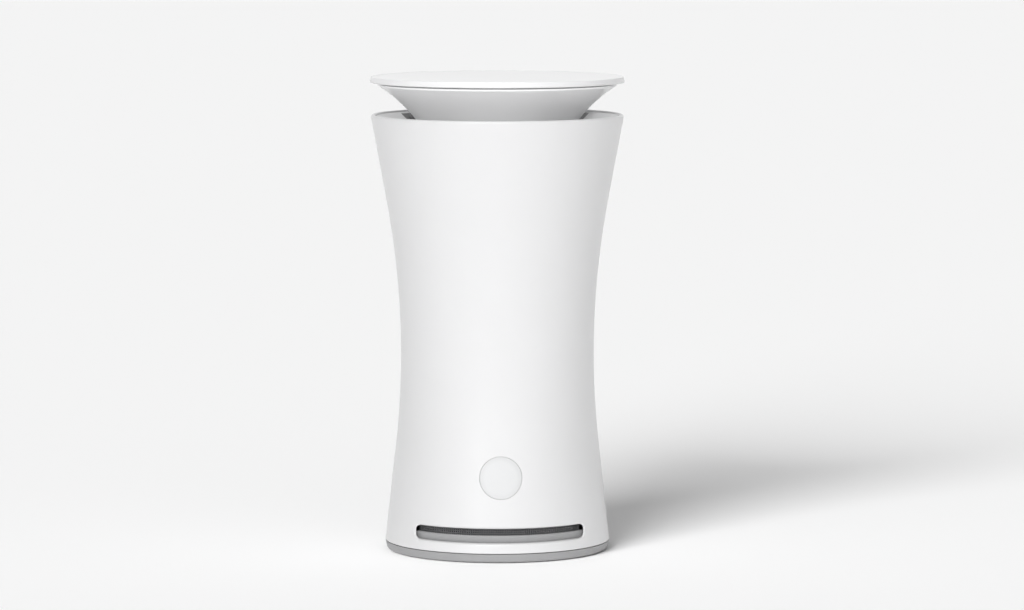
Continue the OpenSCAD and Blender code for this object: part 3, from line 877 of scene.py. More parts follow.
class PiercedWall:
    """A turned wall with openings, on the grid of a shape that maps flat coordinates to itself."""

    fade = 0.8

    def __init__(self, maker: MeshMaker, grid: np.ndarray, shape: "Housing | Outlet") -> None:
        """Takes over a grid of a shape's points, whose numbers stand in rows and columns."""
        self.maker, self.grid, self.shape = maker, grid, shape
        self.blocks: list[tuple[set[int], set[int]]] = []

    def rim(self, rows: Sequence[int], columns: Sequence[int]) -> np.ndarray:
        """The numbers of the points round a block of the grid, anticlockwise from its lower left."""
        block = self.grid[np.ix_(rows, columns)]
        return np.concatenate([block[0, :-1], block[:-1, -1], block[-1, :0:-1], block[:0:-1, 0]])

    def pierce(
        self, opening: Opening, front: Sequence[int], back: Sequence[int], columns: Sequence[int],
        depth: float, loops: int,
    ) -> None:
        """Fills the block round an opening, from the front rim through the edge to the back rim.

        Args:
            opening: The opening.
            front: The front rows of the block, upward.
            back: The back rows that match them.
            columns: The columns of the block, anticlockwise.
            depth: Thickness of the wall.
            loops: How many bands lie between each rim and the opening's edge.
        """
        taken = set(columns[:-1])
        self.blocks += [(set(front[:-1]), taken), (set(back[1:]), taken)]
        every = np.concatenate(self.maker.points)
        rims = [self.rim(front, columns), self.rim(back, columns)]
        flats = [self.shape.local(opening.angle, every[rim]) for rim in rims]
        edge = [(opening.loop(len(columns) - 1, len(front) - 1, outset), level)
                for outset, level in opening.steps]
        parts = [(step / loops) ** self.fade for step in range(1, loops)]
        plan = [(flats[0] * (1 - part) + edge[0][0] * part, 0.0) for part in parts] + edge
        plan += [(edge[-1][0] * part + flats[1] * (1 - part), depth) for part in reversed(parts)]
        spots = [every[rims[0]], *(self.shape.place(opening.angle, *step) for step in plan), every[rims[1]]]
        rows = [rims[0]]
        for k in range(1, len(spots) - 1):
            if loops < k < len(spots) - 1 - loops:
                leans = side_normals(*spots[k - 1:k + 2])
            else:
                leans = self.shape.normal(spots[k], k <= loops)
            rows.append(self.maker.add(spots[k], leans))
        rows.append(rims[1])
        for first, second in zip(rows, rows[1:]):
            self.maker.strip(first, second)

    def fill(self) -> None:
        """Fills the grid between its rows, all but the blocks that openings take."""
        rows, columns = self.grid.shape
        for k in range(rows):
            first, second = self.grid[k], self.grid[(k + 1) % rows]
            for j in range(columns):
                if not any(k in block[0] and j in block[1] for block in self.blocks):
                    after = (j + 1) % columns
                    self.maker.face((first[j], first[after], second[after], second[j]))


# ------------------------------------------------------------------------------------------ pieces


@dataclass
class Housing:
    """The hourglass housing: its wall, rounded lip, slots, holes and screw bosses."""

    waist_up: float = 63 * MM
    waist_radius: float = 32.35 * MM
    upper_curve: float = 280 * MM
    upper_slope: float = math.radians(10.5)
    lower_curve: float = 280 * MM
    lower_slope: float = math.radians(6.4)
    wall: float = 1.8 * MM
    lip: float = 1.5 * MM
    lip_points: int = 17
    foot_edge: float = 0.22 * MM
    ledge_down: float = 5.2 * MM
    ledge: float = 1.2 * MM
    ledge_edges: tuple[float, ...] = (0.1 * MM, 0.15 * MM, 0.3 * MM)
    slot_width: float = 55.4 * MM
    slot_height: float = 4.7 * MM
    slot_up: float = 5.75 * MM
    slot_radius: float = 1.6 * MM
    slot_edge: float = 0.8 * MM
    rear_slot_width: float = 15 * MM
    rear_slot_turn: float = math.radians(37)
    hole_edge: float = 0.12 * MM
    back_edge: float = 0.1 * MM
    gap: float = 0.2 * MM
    boss_radius: float = 2.6 * MM
    boss_bore: float = 1.1 * MM
    boss_height: float = 6 * MM
    boss_end: float = 0.6 * MM
    boss_edge: float = 0.2 * MM
    boss_up: float = 4.5 * MM
    boss_in: float = 0.6 * MM
    boss_degrees: tuple[float, ...] = (18.0, 162.0, 204.0, 336.0)
    boss_columns: int = 32
    rib: float = 2 * MM
    rib_sunk: float = 0.3 * MM
    columns: int = 288
    round_steps: int = 5
    row: float = 1.0 * MM
    rows_up: float = 1.4 * MM
    fine_rows: int = 36
    upper_rows: int = 46
    block_turn: float = math.radians(1.5)
    block_up: float = 0.2 * MM
    loops: int = 5
    slope_step: float = 0.05 * MM
    bottom: float = field(default_factory=lambda: low("body_shell"))
    rim: float = field(default_factory=lambda: high("body_shell"))

    def radius(self, z: np.ndarray | float) -> np.ndarray:
        """The outer radius.

        Args:
            z: Heights above the floor.

        Returns:
            The radii.
        """
        rise = np.asarray(z) - self.bottom - self.waist_up
        curve = np.where(rise > 0, self.upper_curve, self.lower_curve)
        slope = np.where(rise > 0, self.upper_slope, self.lower_slope)
        away = np.abs(rise)
        bend = curve * np.sin(slope)
        flare = curve - np.sqrt(curve**2 - np.minimum(away, bend) ** 2)
        return self.waist_radius + flare + np.maximum(away - bend, 0.0) * np.tan(slope)

    def wide(self, z: float) -> float:
        """The outer radius at one height."""
        return float(self.radius(z))

    def slope(self, z: np.ndarray) -> np.ndarray:
        """How fast the radius grows with height."""
        step = self.slope_step
        return (self.radius(z + step) - self.radius(z - step)) / (2 * step)

    def normal(self, places: np.ndarray, front: bool) -> np.ndarray:
        """The wall's normals at places on its outside, or else on its inside."""
        normals = unit(np.column_stack([unit(places[:, :2]), -self.slope(places[:, 2])]))
        return normals if front else -normals

    def place(self, angle: float, flat: np.ndarray, depth: float) -> np.ndarray:
        """Maps flat points round an opening to the wall.

        Args:
            angle: The way that the opening faces.
            flat: Places across and heights.
            depth: How deep in the wall they lie.

        Returns:
            The places.
        """
        across, z = flat[:, 0], flat[:, 1]
        if depth < self.wall / 2:
            reach = np.sqrt(self.radius(z) ** 2 - across**2) - depth
        else:
            reach = np.sqrt((self.radius(z) - self.wall) ** 2 - across**2) + self.wall - depth
        level = reach[:, None] * way(angle) + across[:, None] * way(angle + math.pi / 2)
        return np.column_stack([level, z])

    def local(self, angle: float, places: np.ndarray) -> np.ndarray:
        """The places across and the heights of places on the wall, round an opening at an angle."""
        return np.column_stack([places[:, :2] @ way(angle + math.pi / 2), places[:, 2]])

    def openings(self) -> list[Opening]:
        """The slots and holes.

        Returns:
            The openings, each with its place and its edge.
        """
        slot_z = self.bottom + self.slot_up
        slot = (self.slot_height, self.slot_radius, edge_steps(self.slot_edge, self.back_edge, self.wall))
        hole = edge_steps(self.hole_edge, self.back_edge, self.wall)
        found = [Opening(FRONT, slot_z, self.slot_width, *slot)]
        window = size("status_window", 0) + self.gap / 2
        socket, socket_up = (size("usb_socket", axis) + 2 * self.gap for axis in (0, 2))
        button = 2 * (Controls.radius + self.gap)
        for angle, node, width, height in ((FRONT, "status_window", window, window),
                                           (REAR, "usb_socket", socket, socket_up),
                                           (REAR, "power_button", button, button)):
            found.append(Opening(angle, middle(node), width, height, height / 2, hole))
        for side in (-1, 1):
            found.append(Opening(REAR + side * self.rear_slot_turn, slot_z, self.rear_slot_width, *slot))
        return found

    def heights(self) -> np.ndarray:
        """The heights of the rows that front and back share, from the bottom to the lip."""
        fine = self.bottom + self.rows_up + self.row * np.arange(self.fine_rows + 1)
        return np.concatenate([fine, np.linspace(fine[-1], self.rim - 2 * self.lip, self.upper_rows)[1:]])

    def outline(self, heights: np.ndarray) -> tuple[Outline, int]:
        """The wall's section.

        Args:
            heights: The heights of the rows that front and back share.

        Returns:
            The outline, and the row at which the front's heights start.
        """
        bend, lean = self.lip / 2, self.upper_slope
        crown = self.rim - bend
        hub = self.wide(crown - bend * math.sin(lean)) - bend * math.cos(lean)
        ledge_z = self.rim - self.ledge_down
        inside = self.wide(ledge_z) - self.lip
        step, below = inside - self.ledge, ledge_z - self.ledge
        foot = self.wide(self.bottom)
        head = [Corner(r, self.bottom, self.foot_edge) for r in (foot - self.wall, foot)]
        front = [Corner(self.wide(z), z) for z in heights]
        turns = np.linspace(-lean, math.pi - lean, self.lip_points)
        arc = [Corner(hub + bend * math.cos(turn), crown + bend * math.sin(turn)) for turn in turns]
        shoulder = [Corner(*spot, edge) for spot, edge in zip(
            ((inside, ledge_z), (step, ledge_z), (step, below)), self.ledge_edges)]
        back = [Corner(self.wide(z) - self.wall, z) for z in heights[::-1] if z < below - self.row]
        outline = rounded(head + front + arc + shoulder + back, steps=self.round_steps)
        return outline, count_points(head, self.round_steps)

    def build(self) -> None:
        """Builds the housing and dresses it."""
        maker = MeshMaker()
        heights = self.heights()
        outline, first = self.outline(heights)
        grid = maker.rows(outline, np.linspace(*CIRCLE, self.columns, endpoint=False))
        wall = PiercedWall(maker, grid, self)
        for opening in self.openings():
            columns, levels = self.block(opening, heights)
            front = [first + k for k in levels]
            back = [len(grid) - 1 - k for k in levels]
            wall.pierce(opening, front, back, columns, self.wall, self.loops)
        wall.fill()
        for turn in self.boss_degrees:
            self.boss(maker, math.radians(turn))
        maker.install("housing_shell", Body.HOUSING, WHITE, "body_shell")

    def block(self, opening: Opening, heights: np.ndarray) -> tuple[list[int], list[int]]:
        """The block of the grid that an opening takes, with an even count of columns and of rows.

        Args:
            opening: The opening.
            heights: The heights of the shared rows.

        Returns:
            The columns and the rows of the block, counted from the lowest shared row.
        """
        inner = self.wide(opening.center) - self.wall
        half = math.asin((opening.width / 2 + self.slot_edge) / inner) + self.block_turn
        step = math.tau / self.columns
        start = math.floor((opening.angle - half) / step)
        stop = math.ceil((opening.angle + half) / step)
        reach = opening.height / 2 + self.slot_edge + self.block_up
        below = int(np.searchsorted(heights, opening.center - reach)) - 1
        above = int(np.searchsorted(heights, opening.center + reach))
        stop += (stop - start) % 2
        above += (above - below) % 2
        return [c % self.columns for c in range(start, stop + 1)], list(range(below, above + 1))

    def boss(self, maker: MeshMaker, turn: float) -> None:
        """Adds a screw boss and the rib that joins it to the wall.

        Args:
            maker: The housing's mesh.
            turn: Where the boss stands.
        """
        base = self.bottom + self.boss_up
        top, edge = base + self.boss_height, self.boss_edge
        ring = self.wide(self.bottom) - self.wall - self.boss_radius - self.boss_in
        start = maker.count
        maker.turn(rounded([
            Corner(self.boss_bore, base, edge), Corner(self.boss_radius, base, edge),
            Corner(self.boss_radius, top, edge), Corner(0.0, top), Corner(0.0, top - self.boss_end),
            Corner(self.boss_bore, top - self.boss_end, edge / 2)], steps=3), self.boss_columns)
        maker.shift(start, np.identity(3), (*(ring * way(turn)), 0.0))
        inner = ring + self.boss_radius - self.rib_sunk
        maker.box((inner, -self.rib / 2, base), (self.wide(top) - self.wall / 2, self.rib / 2, top), turn)


@dataclass
class Base:
    """The grey base cover with its wall behind the intake slot, and the rubber foot."""

    housing: Housing
    gap: float = 0.2 * MM
    edge: float = 0.12 * MM
    inset: float = 0.6 * MM
    round: float = 1.1 * MM
    upstand: float = 1.3 * MM
    upstand_gap: float = 0.3 * MM
    upstand_share: float = 0.5
    upstand_extra: float = math.radians(4)
    upstand_sunk: float = 1 * MM
    upstand_edge: float = 0.45 * MM
    foot_width: float = 4.4 * MM
    foot_ribs: int = 3
    foot_edge: float = 0.25 * MM
    foot_top_edge: float = 0.1 * MM
    foot_gap: float = 0.05 * MM
    rib: float = 0.15 * MM
    rib_flare: float = 1.6
    columns: int = 240
    wall_columns: int = 96
    foot_columns: int = 192

    def build(self) -> None:
        """Builds the base cover and the foot."""
        self.cover()
        self.foot()

    def cover(self) -> None:
        """Builds the base cover."""
        floor, top = low("base_cover"), self.housing.bottom - self.gap
        outer, edge = high("base_cover", 0), self.edge
        foot_out, foot_top = high("foot_ring", 0) + self.foot_gap, high("foot_ring")
        foot_in = foot_out - self.foot_width - 2 * self.foot_gap
        maker = MeshMaker()
        maker.turn(rounded([
            Corner(0.0, floor), Corner(foot_in, floor, edge), Corner(foot_in, foot_top, edge),
            Corner(foot_out, foot_top, edge), Corner(foot_out, floor, edge),
            Corner(outer - self.inset, floor, self.round), Corner(outer, top, edge), Corner(0.0, top),
        ], closed=False, steps=8), self.columns, closed=False)
        self.wall(maker, top - self.upstand_sunk)
        maker.install("base_plate", Body.HOUSING, GREY, "base_cover")

    def wall(self, maker: MeshMaker, base: float) -> None:
        """Adds the wall that closes the lower part of the intake slot.

        Args:
            maker: The cover's mesh.
            base: Where the wall starts, inside the cover.
        """
        shell = self.housing
        slot_low = shell.bottom + shell.slot_up - shell.slot_height / 2
        radius = shell.wide(slot_low) - shell.wall - self.upstand_gap
        top = slot_low + self.upstand_share * shell.slot_height
        half = math.asin(shell.slot_width / 2 / shell.wide(slot_low)) + self.upstand_extra
        edges = (0.0, 0.0, self.upstand_edge, self.upstand_edge)
        maker.turn(band(radius - self.upstand, radius, base, top, edges), self.wall_columns,
                   span=(FRONT - half, FRONT + half))

    def foot(self) -> None:
        """Builds the foot ring, with fine ribs round its sole."""
        outer, top = high("foot_ring", 0), high("foot_ring")
        inner = outer - self.foot_width
        corners = [Corner(inner, 0.0, self.foot_edge)]
        for rib in range(1, self.foot_ribs + 1):
            center = inner + rib * self.foot_width / (self.foot_ribs + 1)
            corners += [Corner(center + self.rib * share, self.rib * up, self.rib / 2) for share, up in (
                (-self.rib_flare, 0), (-1, 1), (1, 1), (self.rib_flare, 0))]
        corners += [Corner(outer, 0.0, self.foot_edge), Corner(outer, top, self.foot_top_edge),
                    Corner(inner, top, self.foot_top_edge)]
        maker = MeshMaker()
        maker.turn(rounded(corners, steps=4), self.foot_columns)
        rubber = Rubber("foot_rubber", (0.05, 0.05, 0.052))
        maker.install("rubber_foot", Body.HOUSING, rubber, "foot_ring")


@dataclass
class IntakeScreen:
    """The fine screen behind the slot: a curved frame, level wires and upright wires."""

    pitch: float = 0.75 * MM
    wire: float = 0.2 * MM
    wire_points: int = 8
    upright: float = 0.36 * MM
    border: float = 0.9 * MM
    edge: float = 0.1 * MM
    thickness: float = 0.8 * MM
    columns: int = 72

    def build(self) -> None:
        """Builds the screen."""
        outer = -low("intake_mesh", 1)
        inner = outer - self.thickness
        center = (outer + inner) / 2
        half = math.asin(high("intake_mesh", 0) / outer)
        span = (FRONT - half, FRONT + half)
        bottom, top = low("intake_mesh"), high("intake_mesh")
        maker = MeshMaker()
        for z in (bottom, top - self.border):
            frame_bar = band(inner, outer, z, z + self.border, [self.edge] * 4, steps=2)
            maker.turn(frame_bar, self.columns, span=span)
        clear = top - bottom - 2 * self.border
        rows = round(clear / self.pitch)
        lean = np.array([way(math.tau * k / self.wire_points) for k in range(self.wire_points)])
        for row in range(rows):
            z = bottom + self.border + clear * (row + 0.5) / rows
            maker.turn((lean * self.wire + np.array([center, z]), lean), self.columns, span=span)
        reach = half - self.border / outer
        count = round(2 * reach * outer / self.pitch)
        bars = [(turn, self.upright, self.wire) for turn in np.linspace(-reach, reach, count + 1)]
        ends = half - self.border / 2 / outer
        bars += [(turn, self.border, self.thickness / 2) for turn in (-ends, ends)]
        for turn, width, depth in bars:
            maker.box((center - depth, -width / 2, bottom + self.edge),
                      (center + depth, width / 2, top - self.edge), FRONT + turn)
        maker.install("intake_screen", Body.HOUSING, DARK, "intake_mesh")


@dataclass
class StatusLight:
    """The flush frosted window of the status light."""

    housing: Housing
    edge: float = 0.15 * MM
    rings: int = 10
    points: int = 72

    def build(self) -> None:
        """Builds the window, which follows the housing's curve."""
        wall = self.housing.wall
        radius, center = size("status_window", 0) / 2, middle("status_window")
        flat = [(radius - self.edge) * step / self.rings for step in range(self.rings)]
        side = [(radius - outset, depth) for outset, depth in edge_steps(self.edge, self.edge, wall)[::-1]]
        plan = [(reach, wall) for reach in flat] + side + [(reach, 0.0) for reach in reversed(flat)]
        circle = np.array([way(math.tau * k / self.points) for k in range(self.points)])
        spots = [self.housing.place(FRONT, reach * circle + np.array([0.0, center]), depth)
                 for reach, depth in plan]
        maker = MeshMaker()
        rows = []
        last = len(spots) - 1
        for k, spot in enumerate(spots):
            if self.rings < k < last - self.rings:
                leans = side_normals(*spots[k - 1:k + 2])
            else:
                leans = self.housing.normal(spot, k > len(spots) // 2)
            if k in (0, last):
                rows.append(np.repeat(maker.add(spot[:1], leans[:1]), self.points))
            else:
                rows.append(maker.add(spot, leans))
        for first, second in zip(rows, rows[1:]):
            maker.strip(first, second)
        face = (0.0, -self.housing.wide(center), center)
        frost = Frosted("frosted_window", (0.66, 0.665, 0.67), face, radius)
        maker.install("window_lens", Body.HOUSING, frost, "status_window")


@dataclass
class Controls:
    """The power button at the back, with a shallow dish for a fingertip."""

    radius: float = 3.5 * MM
    flange: float = 0.9 * MM
    dish: float = 0.22 * MM
    edge: float = 0.4 * MM
    fine_edge: float = 0.1 * MM
    bowl_points: int = 8
    columns: int = 72

    def build(self) -> None:
        """Builds the button."""
        back, front = low("power_button", 1), high("power_button", 1)
        wide, fine = size("power_button", 0) / 2, self.fine_edge
        hollow = self.radius - self.edge
        bowl = [Corner(hollow * x, front - self.dish * (1 - x * x))
                for x in np.linspace(0.9, 0.0, self.bowl_points)]
        maker = MeshMaker()
        maker.turn(rounded([
            Corner(0.0, back), Corner(wide, back, fine), Corner(wide, back + self.flange, fine),
            Corner(self.radius, back + self.flange, fine), Corner(self.radius, front, self.edge),
            *bowl], closed=False), self.columns, closed=False)
        level = np.array([[1.0, 0.0, 0.0], [0.0, 0.0, 1.0], [0.0, -1.0, 0.0]])
        maker.shift(0, level, (0.0, 0.0, middle("power_button")))
        satin = Plastic("button_satin", (0.58, 0.585, 0.59), roughness=0.38, grain=0.25 * MM)
        maker.install("button_cap", Body.BUTTON, satin, "power_button")


@dataclass
class Outlet:
    """The sloping collar inside the rim: its neck, its two windows and their rebates."""

    housing: Housing
    slope: float = math.radians(37)
    thick: float = 2 * MM
    rim_down: float = 0.5 * MM
    edge_down: float = 1.2 * MM
    wall_gap: float = 0.12 * MM
    back_in: float = 0.6 * MM
    front_in: float = 0.1 * MM
    edge: float = 0.25 * MM
    neck: float = 25 * MM
    neck_edge: float = 0.15 * MM
    neck_wall: float = 11 * MM
    mouth_edge: float = 0.6 * MM
    foot: float = 2 * MM
    foot_in: float = 1 * MM
    foot_edge: float = 0.2 * MM
    window_in: float = 27.6 * MM
    window_gap: float = 0.35 * MM
    window_half: float = math.radians(53)
    window_radius: float = 0.5 * MM
    block_turn: float = math.radians(1)
    seat: float = 1.3 * MM
    rebate: float = 1.15 * MM
    rebate_edge: float = 0.12 * MM
    seat_reach: float = 1.1
    ledge_in: float = 0.3 * MM
    ledge_edge: float = 0.15 * MM
    ledge_columns: int = 192
    columns: int = 288
    rows: int = 12
    round_steps: int = 5
    loops: int = 2

    @property
    def rim(self) -> float:
        """The collar's outer radius."""
        h = self.housing
        return h.wide(h.rim - self.edge_down) - h.lip - self.wall_gap

    @property
    def center(self) -> float:
        """The middle radius of the windows, at which arc lengths are measured."""
        return (self.window_in + self.rim - self.window_gap) / 2

    def top(self, radius: np.ndarray | float) -> np.ndarray | float:
        """Height of the collar's upper face at a radius."""
        return self.housing.rim - self.rim_down - (self.rim - radius) * math.tan(self.slope)

    def place(self, angle: float, flat: np.ndarray, depth: float) -> np.ndarray:
        """Maps flat points round a window to the collar.

        Args:
            angle: The way that the window faces.
            flat: Arc lengths across and radii, counted inward as negative.
            depth: How deep in the collar they lie.

        Returns:
            The places.
        """
        turn, radius = angle + flat[:, 0] / self.center, -flat[:, 1]
        height = self.top(radius) - depth / math.cos(self.slope)
        return np.column_stack([radius * np.cos(turn), radius * np.sin(turn), height])

    def local(self, angle: float, places: np.ndarray) -> np.ndarray:
        """The arc lengths across and the negative radii of places, round a window at an angle."""
        turn = (np.arctan2(places[:, 1], places[:, 0]) - angle + math.pi) % math.tau - math.pi
        return np.column_stack([turn * self.center, -np.hypot(places[:, 0], places[:, 1])])

    def normal(self, places: np.ndarray, front: bool) -> np.ndarray:
        """The normals of the collar's upper face, or else of its lower face."""
        lean = way(self.slope + math.pi / 2) * (1 if front else -1)
        return np.column_stack([unit(places[:, :2]) * lean[0], np.full(len(places), lean[1])])

    def outline(self) -> tuple[Outline, int]:
        """The collar's section.

        Returns:
            The outline, and the row at which its back starts.
        """
        drop = self.thick / math.cos(self.slope)
        outside = self.neck + self.thick
        base = self.top(self.neck) - self.neck_wall - self.foot
        inner = self.neck - self.foot_in
        back_radii, front_radii = (np.linspace(outside + self.edge, self.rim - less, self.rows + 1)
                                   for less in (self.back_in, self.front_in))
        back = [Corner(r, self.top(r) - drop) for r in back_radii]
        front = [Corner(r, self.top(r)) for r in front_radii[::-1]]
        head = [Corner(inner, base, self.edge), Corner(outside, base, self.edge),
                Corner(outside, self.top(outside) - drop, self.neck_edge)]
        tail = [Corner(self.neck, self.top(self.neck), self.mouth_edge),
                Corner(self.neck, base + self.foot, self.foot_edge),
                Corner(inner, base + self.foot, self.edge)]
        spots, leans = rounded(head + back + front + tail, steps=self.round_steps)
        first = count_points(head, self.round_steps)
        last, upward = first + self.rows, way(self.slope + math.pi / 2)
        # The rows at the ends of both faces take the faces' own normals, so that the faces shade flat.
        leans[[first, last]] = -upward
        leans[[last + 1, last + 1 + self.rows]] = upward
        return (spots, leans), first

    def build(self) -> None:
        """Builds the collar."""
        maker = MeshMaker()
        outline, first = self.outline()
        grid = maker.rows(outline, np.linspace(*CIRCLE, self.columns, endpoint=False))
        wall = PiercedWall(maker, grid, self)
        bend, back = self.rebate_edge, -self.seat + self.rebate_edge * self.seat_reach
        steps = [tuple(spot) for spot in rounded([
            Corner(bend * self.seat_reach, 0.0), Corner(0.0, 0.0, bend), Corner(0.0, self.rebate, bend),
            Corner(-self.seat, self.rebate, bend), Corner(-self.seat, self.thick, bend),
            Corner(back, self.thick)], closed=False, steps=3)[0]]
        front_rows = [first + self.rows + 1 + k for k in range(self.rows + 1)]
        back_rows = [first + self.rows - k for k in range(self.rows + 1)]
        step = math.tau / self.columns
        half = math.ceil((self.window_half + self.block_turn) / step)
        for angle in (FRONT, REAR):
            opening = Opening(
                angle, -self.center, 2 * self.window_half * self.center,
                2 * (self.center - self.window_in), self.window_radius, steps)
            columns = [(round(angle / step) + k) % self.columns for k in range(-half, half + 1)]
            wall.pierce(opening, front_rows, back_rows, columns, self.thick, self.loops)
        wall.fill()
        self.ledge(maker)
        maker.install("collar", Body.HOUSING, WHITE, "outlet_collar")

    def ledge(self, maker: MeshMaker) -> None:
        """Adds the ring under the collar's edge that stands on the housing's ledge.

        Args:
            maker: The collar's mesh.
        """
        h = self.housing
        base = h.rim - h.ledge_down
        outer = h.wide(base) - h.lip - self.wall_gap
        inner = outer - h.ledge - self.ledge_in
        top = self.top(inner) - self.thick / 2
        maker.turn(band(inner, outer, base, top, [self.ledge_edge] * 4, steps=3), self.ledge_columns)


@dataclass
class Cap:
    """The lift-off cap: a hollow-curved cone under a shallow dish."""

    curve: float = 49 * MM
    outer_rows: int = 44
    inner_rows: int = 36
    curve_overlap: float = 0.05
    throat: float = 16.8 * MM
    lip_out: float = 1 * MM
    lip_up: float = 1.2 * MM
    lip_back: float = 0.1 * MM
    lip_edges: tuple[float, ...] = (0.15 * MM, 0.3 * MM, 0.12 * MM)
    thick: float = 1.6 * MM
    plug_down: float = 13.9 * MM
    plug_radius: float = 24.8 * MM
    plug_height: float = 7 * MM
    plug_floor: float = 2 * MM
    plug_edge: float = 0.5 * MM
    groove_up: float = 3 * MM
    groove: float = 1.7 * MM
    groove_in: float = 1.6 * MM
    groove_edge: float = 0.1 * MM
    edge: float = 0.2 * MM
    bore: float = 3 * MM
    rim_in: float = 3 * MM
    hub: float = 8 * MM
    hub_wall: float = 2 * MM
    hub_edge: float = 0.25 * MM
    lugs: int = 3
    lug_out: float = 1.8 * MM
    lug_width: float = 4 * MM
    lug_height: float = 2 * MM
    lug_turn: float = math.radians(30)
    lug_sunk: float = 0.6 * MM
    bevel: float = 0.3 * MM
    rim_rise: float = 1.8 * MM
    rim_back: float = 0.02 * MM
    rim_bevel: float = 0.4 * MM
    rim_width: float = 0.85 * MM
    rim_round: float = 0.35 * MM
    rim_slope: float = 0.9 * MM
    rim_edges: tuple[float, ...] = (0.35 * MM, 0.2 * MM, 0.45 * MM, 0.4 * MM)
    dish: float = 1 * MM
    dish_step: float = 0.2 * MM
    dish_points: int = 30
    post: float = 4 * MM
    post_bore: float = 1.25 * MM
    post_depth: float = 14 * MM
    post_edge: float = 0.15 * MM
    ribs: int = 6
    rib_reach: float = 29 * MM
    rib: float = 1.2 * MM
    rib_height: float = 4 * MM
    rib_sunk: float = 0.5 * MM
    columns: int = 240
    hub_columns: int = 72
    post_columns: int = 48

    def build(self) -> None:
        """Builds the cone and the dish."""
        self.cone()
        self.top()

    def curved(self, angle: float, inset: float, base: float, edge: float = 0.0) -> Corner:
        """A corner on the cone's hollow curve, at an angle from its throat and behind its face."""
        across, up = (self.curve + inset) * way(angle)
        return Corner(self.throat + self.curve - across, base + up, edge)

    def cone(self) -> None:
        """Builds the cone, its plug and the hub that locks the cartridge."""
        seal, flange = high("cap_cone"), high("cap_cone", 0)
        plug = high("cap_screw") - self.plug_down
        plug_top, floor = plug + self.plug_height, plug + self.plug_floor
        last = math.acos((self.throat + self.curve - flange + self.lip_out) / self.curve)
        base = seal - self.lip_up - self.curve * math.sin(last)
        first = math.asin((plug_top - base) / self.curve)
        inner = math.asin((floor + self.plug_floor / 2 - base) / (self.curve + self.thick))
        groove_low, groove_in = plug + self.groove_up, self.plug_radius - self.groove_in
        groove_top = groove_low + self.groove
        edge, fine, round_edge = self.edge, self.groove_edge, self.plug_edge
        corners = [
            Corner(self.bore, plug, edge), Corner(self.plug_radius, plug, round_edge),
            Corner(self.plug_radius, groove_low, edge), Corner(groove_in, groove_low, fine),
            Corner(groove_in, groove_top, fine), Corner(self.plug_radius, groove_top, edge),
            Corner(self.plug_radius, plug_top, round_edge),
            Corner(self.curved(first, 0.0, base).a, plug_top, 2 * edge)]
        corners += [self.curved(turn, 0.0, base) for turn in np.linspace(first, last, self.outer_rows)[2:-1]]
        corners += [
            self.curved(last, 0.0, base, self.lip_edges[0]),
            Corner(flange - self.lip_back, seal - self.lip_up / 2, self.lip_edges[1]),
            Corner(flange, seal, self.lip_edges[2]), Corner(flange - self.rim_in, seal, edge)]
        corners += [self.curved(turn, self.thick, base)
                    for turn in np.linspace(last - self.curve_overlap, inner, self.inner_rows)]
        corners += [Corner(corners[-1].a, floor, 2 * edge), Corner(self.bore, floor, edge)]
        maker = MeshMaker()
        maker.turn(rounded(corners), self.columns)
        self.lock(maker, low("cap_cone"), plug + round_edge)
        maker.install("cone", Body.CAP, WHITE, "cap_cone")

    def lock(self, maker: MeshMaker, base: float, top: float) -> None:
        """Adds the hub below the plug, with the lugs that hold the cartridge.

        Args:
            maker: The cone's mesh.
            base: Height of the hub's lower end.
            top: Height of its upper end.
        """
        edges = (self.hub_edge, self.hub_edge, 0.0, 0.0)
        maker.turn(band(self.hub - self.hub_wall, self.hub, base, top, edges), self.hub_columns)
        for lug in range(self.lugs):
            maker.box((self.hub - self.lug_sunk, -self.lug_width / 2, base),
                      (self.hub + self.lug_out, self.lug_width / 2, base + self.lug_height),
                      self.lug_turn + lug * math.tau / self.lugs)

    def top(self) -> None:
        """Builds the dish, its post and its ribs."""
        wide, crown = high("cap_dish", 0), high("cap_dish")
        edge_z = crown - self.rim_rise
        under, floor = edge_z - self.bevel, crown - self.dish
        rim = wide - self.rim_width
        bowl, hollow = rim - self.rim_slope, self.dish - self.dish_step
        side = wide - self.rim_back
        around = [Corner(*spot, edge) for spot, edge in zip((
            (side, under + 2 * self.rim_back), (side, edge_z + self.bevel),
            (wide - self.rim_bevel, crown), (rim - self.rim_round, crown)), self.rim_edges)]
        face = [Corner(bowl * x, floor + hollow * x * x) for x in np.linspace(1.0, 0.0, self.dish_points)]
        back = [Corner(0.0, under), Corner(high("cap_cone", 0), under)]
        maker = MeshMaker()
        maker.turn(rounded(back + around + face, closed=False), self.columns, closed=False)
        foot, joint = low("cap_dish"), under + self.bevel
        bore, bore_top = self.post_bore, foot + self.post_depth
        maker.turn(rounded([
            Corner(bore, foot, self.post_edge), Corner(self.post, foot, self.bevel),
            Corner(self.post, joint), Corner(0.0, joint), Corner(0.0, bore_top),
            Corner(bore, bore_top)]), self.post_columns)
        for rib in range(self.ribs):
            maker.box((self.post - self.rib_sunk, -self.rib / 2, under - self.rib_height),
                      (self.rib_reach, self.rib / 2, joint), rib * math.tau / self.ribs)
        maker.install("dish", Body.CAP, WHITE, "cap_dish")


